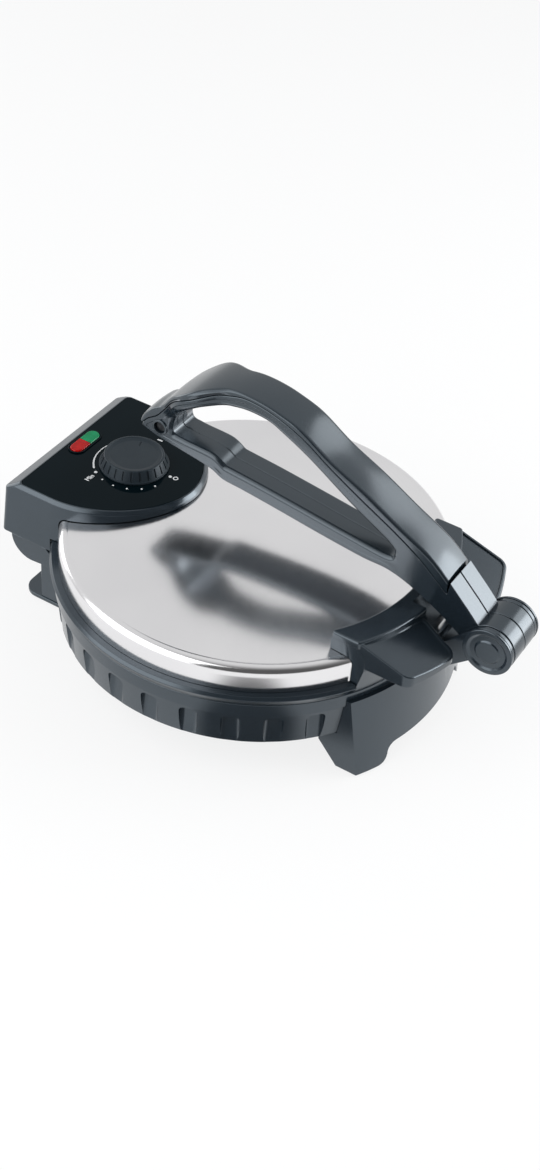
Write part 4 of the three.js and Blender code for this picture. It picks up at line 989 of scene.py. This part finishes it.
def makeHandle():
    top = handle["top"]
    under = top - handle["capThick"]
    front = handle["front"]
    inner = handle["inner"]
    inset = handle["inset"]
    ledge = handle["ledge"]
    skirt = handle["skirt"]
    low = rest["low"]
    band = spun("handle_shell", filleted([
        (ledge, ring["low"]), (handle["foot"], ring["low"], 0.5), (skirt, handle["skirtLow"], 1.5),
        (skirt, handle["skirtTop"], 1.0), (front, under), (front - inset, under + 1),
        (inner + inset, under + 1), (inner + inset, dome["low"]), (ledge, dome["low"])]))
    side = handle["side"] - inset
    sector = block("sector", -side, side, -rest["front"] - overrun, 0, bodyLow, top + overrun)
    kept(band, rounded(sector, 1.0, 4, 60))
    frontAngle = math.acos(handle["side"] / front)
    innerAngle = math.acos(handle["side"] / inner)
    outerArc = arc((0, 0), front, frontAngle - math.pi, math.pi - 2 * frontAngle, 20)
    innerArc = arc((0, 0), inner, -innerAngle, 2 * innerAngle - math.pi, 20)
    plan = [(*outerArc[0], 2.4), *outerArc[1:-1], (*outerArc[-1], 2.4),
            (*innerArc[0], 3.4), *innerArc[1:-1], (*innerArc[-1], 3.4)]
    added(band, rounded(slab("band_cap", filleted(plan), under, top), handle["capRound"], 5, 50))
    solid = slab("rest_block", restOutline(0), low, top + overrun)
    carved(solid, slopeSpace("slope", 0))
    rounded(solid, 1.0, 3, 40)
    dishTool = slab("dish", restOutline(rest["rim"]), low, top + overrun)
    carved(solid, kept(dishTool, slopeSpace("dish_floor", -rest["dish"])))
    pocket = slab("pocket", restOutline(rest["wall"]), low - overrun, rest["pocketTop"])
    carved(pocket, rod("pocket_core", skirt + rest["wall"], low - 2 * overrun, top + overrun,
                       steps=roundSteps))
    carved(pocket, slopeSpace("pocket_slope", -rest["dish"] - rest["floor"]))
    carved(solid, pocket)
    carved(solid, rod("core", front - 0.6, low - 2 * overrun, top + 3 * overrun, steps=roundSteps))
    added(band, mirroredCopy(solid, "rest_mirror"), solid)
    domeLow = dome["low"] - seatGap
    roomLow = bodyLow - overrun
    carved(band, spun("dome_room", [(0, roomLow), (ledge - seatGap, roomLow), (ledge - seatGap, domeLow),
                                    (dome["radius"] + handle["fit"], domeLow), *domeOutside(handle["fit"])]))
    notchSide = handle["notchSide"]
    floor = handle["notchFloor"]
    notch = block("notch", -notchSide, notchSide, -skirt - overrun, 0, floor, top + overrun)
    carved(notch, rod("notch_core", handle["notchRadius"], floor - overrun, top + 2 * overrun,
                      steps=roundSteps))
    carved(band, notch)
    place(band, "lid", "moulded", ["front_handle"])


makeHandle()
print("front handle made")

# Lever

lever = {"half": 14.5, "length": 272.7, "rise": 112.7, "seam": 0.15, "seamChamfer": 0.3, "spacing": 1.9,
         "gripStart": (0.7525, 0.603), "gripEnd": (0.9505, 0.763), "gripSpread": 9, "gripPower": 1.6,
         "outerRound": 0.9, "holeRound": 3.0, "holeSteps": 6, "rim": 3.2, "rimShare": 0.3, "rimStep": 0.35,
         "rimFade": 25, "coverLift": 0.45, "coverRound": 2.6, "coverCrown": 0.7, "coverTrim": 0.12,
         "coverChamfer": 0.4, "coverRings": 110, "screwShares": (0.9413, 0.53), "screwRecess": 4.4,
         "screwDeep": 3.5, "screwRing": 1.5, "screwRise": 0.7, "barrelStart": 0.87, "barrelSweep": 5.08,
         "neckStep": 0.03, "plainEnd": -126}
seamShares = [
    (0.993, 0.512), (0.978, 0.556), (0.952, 0.601), (0.932, 0.661), (0.887, 0.8), (0.833, 0.878),
    (0.787, 0.9285), (0.757, 0.945), (0.703, 0.973), (0.63, 0.947), (0.545, 0.867), (0.468, 0.752),
    (0.377, 0.627), (0.281, 0.503), (0.212, 0.397), (0.131, 0.237)]
topShares = [
    (1.002, 0.528), (1, 0.553), (0.992, 0.586), (0.972, 0.639), (0.945, 0.684), (0.914, 0.784),
    (0.888, 0.844), (0.838, 0.931), (0.79, 0.978), (0.7286, 1.004), (0.667, 0.998), (0.6146, 0.9716),
    (0.555, 0.922), (0.472, 0.798), (0.377, 0.689), (0.285, 0.565), (0.19, 0.4455), (0.1346, 0.335)]
undersideShares = [
    (0.0832, -0.0115), (0.1456, 0.086), (0.219, 0.175), (0.2886, 0.2263), (0.358, 0.2325),
    (0.472, 0.2635), (0.6076, 0.308), (0.6956, 0.3345), (0.7543, 0.349), (0.7873, 0.386),
    (0.8277, 0.4073), (0.934, 0.45), (0.9707, 0.472), (0.994, 0.496)]
shoulderShares = [(0.127, 0.323), (0.07, 0.19)]
neckShares = [(0.24, 0.24), (0.24, 0.36)]
handHoleShares = [
    (0.866, 0.747), (0.827, 0.814), (0.787, 0.8487), (0.7506, 0.869), (0.701, 0.887),
    (0.644, 0.876), (0.6, 0.8314), (0.523, 0.734), (0.406, 0.556), (0.296, 0.4055), (0.28, 0.355),
    (0.296, 0.315), (0.4096, 0.3434), (0.523, 0.379), (0.6406, 0.4144), (0.7323, 0.4366), (0.7505, 0.4412),
    (0.7545, 0.445), (0.771, 0.472), (0.79, 0.49), (0.8167, 0.4965), (0.8753, 0.503), (0.9065, 0.5235),
    (0.903, 0.62)]
# places on the outline and on the hand hole's edge that face each other
facingShares = [
    ((0.952, 0.601), (0.903, 0.62)), ((0.887, 0.8), (0.866, 0.747)), ((0.833, 0.878), (0.827, 0.814)),
    ((0.757, 0.945), (0.7506, 0.869)), ((0.63, 0.947), (0.644, 0.876)), ((0.545, 0.867), (0.56, 0.785)),
    ((0.377, 0.627), (0.406, 0.556)), ((0.281, 0.503), (0.296, 0.4055)), ((0.213, 0.4), (0.284, 0.375)),
    ((0.214, 0.17), (0.284, 0.335)), ((0.2886, 0.2263), (0.31, 0.318)),
    ((0.472, 0.2635), (0.45, 0.356)), ((0.6956, 0.3345), (0.69, 0.428)), ((0.7873, 0.386), (0.78, 0.482)),
    ((0.8277, 0.4073), (0.8167, 0.4965)), ((0.934, 0.45), (0.89, 0.507)), ((0.994, 0.496), (0.9065, 0.5235))]


def leverPlace(shares):
    return Vector((pivot["y"] + shares[0] * lever["length"], pivot["z"] + shares[1] * lever["rise"]))


gripStart = leverPlace(lever["gripStart"])
gripEnd = leverPlace(lever["gripEnd"])


def gripGrowth(spot):
    along = max(0, min(1, (spot.x - gripStart.x) / (gripEnd.x - gripStart.x)))
    above = fade(spot.y, gripStart.y, gripEnd.y)
    return lever["gripSpread"] * math.sin(math.pi * along) ** lever["gripPower"] * above


def fade(value, start, end):
    share = max(0, min(1, (value - start) / (end - start)))
    return share * share * (3 - 2 * share)


def smoothThrough(shares, steps, closed=False):
    return curveThrough([leverPlace(pair) for pair in shares], steps, closed)


def nearest(line, spot):
    return min(range(len(line)), key=lambda i: (line[i] - spot).length)


def loopPart(loop, start, end):
    # the points from one index to another, going round
    if end <= start:
        end += len(loop)
    return [loop[i % len(loop)] for i in range(start, end + 1)]


def bodyPart(line):
    return [spot for spot in line if spot.x >= lever["plainEnd"]]


def facingLoops():
    # the outline right of the neck, and the hand hole's edge, in matching points
    outer = [*bodyPart(smoothThrough(seamShares, 60)), *bodyPart(smoothThrough(undersideShares, 60))]
    hole = smoothThrough(handHoleShares, 60, True)
    outside = []
    inside = []
    for i, (first, second) in enumerate(facingShares):
        nextFirst, nextSecond = facingShares[(i + 1) % len(facingShares)]
        outerPart = loopPart(outer, nearest(outer, leverPlace(first)), nearest(outer, leverPlace(nextFirst)))
        holePart = loopPart(hole, nearest(hole, leverPlace(second)), nearest(hole, leverPlace(nextSecond)))
        length = sum((b - a).length for a, b in zip(outerPart, outerPart[1:]))
        count = max(3, round(length / lever["spacing"]))
        outside += evenly(outerPart, count)
        inside += evenly(holePart, count)
    return outside, inside


def inward(loop, i):
    # unit normal of a loop at a point, to the left of its direction
    ahead = loop[(i + 2) % len(loop)] - loop[i - 2]
    return Vector((-ahead.y, ahead.x)).normalized()


def wideAt(spot):
    return lever["half"] + gripGrowth(spot)


def leverSection(edge, edgeIn, hole, holeIn):
    # from the seam over the rim, the sunk face and the hand hole's bevel, back to the seam
    seam = lever["seam"]
    chamfer = lever["seamChamfer"]
    radius = lever["outerRound"]
    wide = wideAt(edge)
    section = [(edge + edgeIn * chamfer, seam), (edge, seam + chamfer)]
    for along, up in arc((0, 0), 1, 0, quarter, 5):
        section.append((edge + edgeIn * radius * (1 - along), wide - radius * (1 - up)))
    rim = min(lever["rim"], (hole - edge).length * lever["rimShare"])
    sunk = lever["rimStep"] * fade(edge.x, lever["plainEnd"], lever["plainEnd"] + lever["rimFade"])
    first = edge + edgeIn * rim
    second = edge + edgeIn * (rim + sunk * 1.5)
    section += [(first, wideAt(first)), (second, wideAt(second) - sunk)]
    radius = lever["holeRound"]
    last = hole + holeIn * radius
    for share in (0.2, 0.4, 0.6, 0.8):
        spot = second.lerp(last, share)
        section.append((spot, wideAt(spot) - sunk))
    wide = wideAt(last) - sunk
    for i, (along, up) in enumerate(arc((0, 0), 1, 0, quarter, lever["holeSteps"])):
        # between a round edge and a flat bevel
        share = i / lever["holeSteps"]
        back = 0.7 * (1 - up) + 0.3 * (1 - share)
        down = 0.7 * (1 - along) + 0.3 * share
        section.append((hole + holeIn * radius * back, wide - radius * down))
    return [*section, (hole, seam + chamfer), (hole + holeIn * chamfer, seam)]


def addScrewSeat(piece):
    # a raised ring on the left face and a recess for the screw
    screw = leverPlace(lever["screwShares"])
    face = -lever["half"]
    ringFace = face - lever["screwRise"]
    ringOut = lever["screwRecess"] + lever["screwRing"]
    profile = filleted([(3, face + 1), (3, ringFace), (ringOut, ringFace, 0.6), (ringOut, face + 1)])
    added(piece, spunAcross("screw_ring", profile, screw.x, screw.y))
    carved(piece, crossRod("recess", lever["screwRecess"], face - overrun, face + lever["screwDeep"],
                           screw.x, screw.y))


def makeLeverHalf(name, side, node):
    outside, inside = facingLoops()
    rings = []
    for i, (edge, hole) in enumerate(zip(outside, inside)):
        towards = (hole - edge).normalized()
        edgeIn = towards / max(0.5, towards.dot(inward(outside, i)))
        holeIn = -towards / max(0.5, towards.dot(inward(inside, i)))
        section = leverSection(edge, edgeIn, hole, holeIn)
        rings.append([at(side * across, spot.x, spot.y) for spot, across in section])
    piece = skin(name, rings, True)
    near = side * (lever["seam"] + lever["neckStep"])
    far = side * (lever["half"] - lever["neckStep"])
    neckEnd = lever["plainEnd"] + 1
    upper = [spot for spot in smoothThrough(seamShares, 12) if spot.x < neckEnd]
    lower = [spot for spot in smoothThrough(undersideShares, 12) if spot.x < neckEnd]
    neck = [*upper, *[leverPlace(pair) for pair in shoulderShares],
            *arc((pivot["y"], pivot["z"]), pivot["barrel"], lever["barrelStart"], lever["barrelSweep"], 80),
            *lower, *[leverPlace(pair) for pair in neckShares]]
    added(piece, rounded(sidePlate("neck", neck, min(near, far), max(near, far)), 0.8, 3, 40))
    carved(piece, crossRod("pin_hole", pivot["pin"] + 0.5, -20, 20, pivot["y"], pivot["z"]))
    if side < 0:
        addScrewSeat(piece)
    place(piece, "lever", "lever", [node], 27)


def makeLeverCover():
    count = lever["coverRings"]
    lowLine = smoothThrough(seamShares, 6)
    highLine = smoothThrough(topShares, 6)
    rings = []
    for low, high in zip([*evenly(lowLine, count), lowLine[-1]], [*evenly(highLine, count), highLine[-1]]):
        low = low + Vector((0, lever["coverLift"]))
        rise = high - low
        up = rise.normalized()
        high = high - up * lever["coverTrim"]
        radius = min(lever["coverRound"], rise.length * 0.6)
        crown = min(lever["coverCrown"], rise.length * 0.2)
        chamfer = min(lever["coverChamfer"], rise.length * 0.2)
        shoulder = high - up * crown
        wide = wideAt(shoulder)
        right = [(low, wideAt(low) - chamfer), (low + up * chamfer, wideAt(low))]
        for along, steep in arc((0, 0), 1, 0, quarter, 5):
            right.append((shoulder - up * radius * (1 - steep), wide - radius * (1 - along)))
        for share in (0.75, 0.5, 0.25):
            right.append((shoulder + up * crown * (1 - share * share), (wide - radius) * share))
        left = [(spot, -across) for spot, across in reversed(right)]
        rings.append([at(across, spot.x, spot.y) for spot, across in [*right, (high, 0), *left]])
    place(skin("cover_shell", rings), "lever", "lever", ["lever_cover"], 32)


makeLeverHalf("lever_shell_left", -1, "lever_left")
makeLeverHalf("lever_shell_right", 1, "lever_right")
makeLeverCover()
print("lever made")

# Pivot: bracket and caps

arm = {"root": [(-bracket["root"], bracket["rootLow"]), (-bracket["root"], bracket["rootTop"]),
                (-145.5, 71), (-145.5, 87)],
       "upper": (-155.5, 95.5), "headLow": (-172, 86.5), "bend": (-158, 74), "webTop": (-150, 89),
       "webLow": (-164, 86), "lowAngle": 0.98, "highAngle": 5.33, "edgeRound": 0.6}
cap = {"radius": 17.3, "near": 18.3, "thick": 2, "ringOuter": 12.5, "ringInner": 9, "deep": 0.9}


def makeBracket():
    inner = bracket["inner"]
    outer = bracket["outer"]
    head = arc((pivot["y"], pivot["z"]), bracket["head"], arm["lowAngle"],
               arm["highAngle"] - arm["lowAngle"], 48)
    cheek = [*arm["root"], arm["upper"], *head, arm["headLow"], arm["bend"]]
    web = [*arm["root"], arm["webTop"], arm["webLow"], arm["bend"]]
    piece = rounded(sidePlate("bracket_shell", cheek, inner, outer), arm["edgeRound"], 3, 30)
    left = rounded(sidePlate("cheek", cheek, -outer, -inner), arm["edgeRound"], 3, 30)
    added(piece, left, sidePlate("web", web, -inner - seatGap, inner + seatGap))
    carved(piece, crossRod("bore", pivot["pin"] + seatGap, -25, 25, pivot["y"], pivot["z"]))
    carved(piece, tubRoom())
    place(piece, "base", "moulded", ["lever_bracket"])


def makeCaps():
    for name, side in (("left", -1), ("right", 1)):
        near = cap["near"] * side
        far = near + cap["thick"] * side
        deep = far - cap["deep"] * side
        profile = filleted([
            (0, near), (cap["radius"], near, 0.3), (cap["radius"], far, 0.8),
            (cap["ringOuter"] + 1.6, far, 0.8), (cap["ringOuter"], deep, 0.6), (cap["ringInner"], deep, 0.6),
            (cap["ringInner"] - 1.1, far, 0.8), (0, far - 0.2 * side)])
        piece = spunAcross("cap_" + name, profile, pivot["y"], pivot["z"], 96)
        place(piece, "base", "moulded", ["pivot_cap_" + name])


makeBracket()
makeCaps()
print("pivot made")

# Rear bracket: two round cheeks for the hinge, two legs and the bar between them

rear = {"side": 66, "inner": 56.5, "y": 143, "z": 60, "lift": 2, "round": 17.4, "neckTopY": 130.6,
        "cheekFront": [(112, 47.3), (112, 50), (122.7, 55.8)], "boss": 8.5, "pin": 3.8, "pinEnd": 63,
        "legInner": 32, "legOuter": 56, "legFront": 110, "sole": 1.8, "flange": 3.2, "flangeOuter": 57,
        "flangeRear": 160, "flangeRound": 12, "barRear": 152, "barLow": 38, "barHigh": 50.5,
        "linkSide": 60, "linkLow": 47.8, "merge": 0.02}


def makeRearBracket():
    y = rear["y"]
    z = rear["z"]
    top = z + rear["lift"]
    inner = rear["legInner"]
    outer = rear["legOuter"]
    front = rear["legFront"]
    back = rear["barRear"]
    high = rear["barHigh"]
    sole = rear["sole"]
    cheekLine = [*arc((y, top), rear["round"], 0, -quarter, 20), *rear["cheekFront"], (rear["neckTopY"], top)]
    right = rounded(sidePlate("cheek", cheekLine, rear["inner"], rear["side"]), 0.9, 3, 30)
    added(right, crossRod("boss", rear["boss"], rear["inner"], rear["side"], y, z))
    added(right, rounded(block("leg", inner + 0.5, outer, front + 0.5, y, sole + 1, high - 1), 0.9, 3, 40))
    flangeLine = filleted([
        (inner, front), (rear["flangeOuter"], front),
        (rear["flangeOuter"], rear["flangeRear"], rear["flangeRound"]), (inner, rear["flangeRear"], 3)], 8)
    added(right, rounded(slab("flange", flangeLine, sole, sole + rear["flange"]), 0.7, 3, 60))
    piece = rounded(block("rear_shell", -outer, outer, front, back, rear["barLow"], high), 0.9, 3, 40)
    link = block("link", -rear["linkSide"], rear["linkSide"], front + 3, back - 1,
                 rear["linkLow"], high - 0.5)
    added(piece, link, mirroredCopy(right, "left_side"), right)
    carved(piece, tubRoom())
    carved(piece, crossRod("pin_hole", rear["pin"], -rear["pinEnd"], rear["pinEnd"], y, z))
    tidyMesh(rear["merge"])
    place(piece, "base", "moulded", ["rear_bracket"])


makeRearBracket()
print("rear bracket made")

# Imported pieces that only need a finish

shownFinish = {
    "moulded": ["lid_hinge", "bottom_cover"] + ["base_post_%d" % i for i in range(1, 5)],
    "coated": ["lower_plate", "upper_plate"],
    "heater": ["lower_heater", "upper_heater"],
    "plated": ["lower_reflector", "upper_reflector", "hinge_pin", "pivot_pin", "knob_shaft"]
    + ["cover_screw_%d" % i for i in range(1, 5)] + ["lower_plate_screw_%d" % i for i in range(1, 4)]
    + ["upper_plate_screw_%d" % i for i in range(1, 4)],
    "rubber": ["front_pad_left", "front_pad_right", "rear_pad_left", "rear_pad_right", "cord_inlet"],
    "ceramic": ["thermostat"],
    "lamp": ["red_lamp", "green_lamp"],
    "darkScrew": ["lever_screw"],
}


def dressPacked():
    for look, nodes in shownFinish.items():
        for node in nodes:
            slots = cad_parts[node].data.materials
            slots.clear()
            slots.append(materials[look])


dressPacked()
print("packed pieces finished")
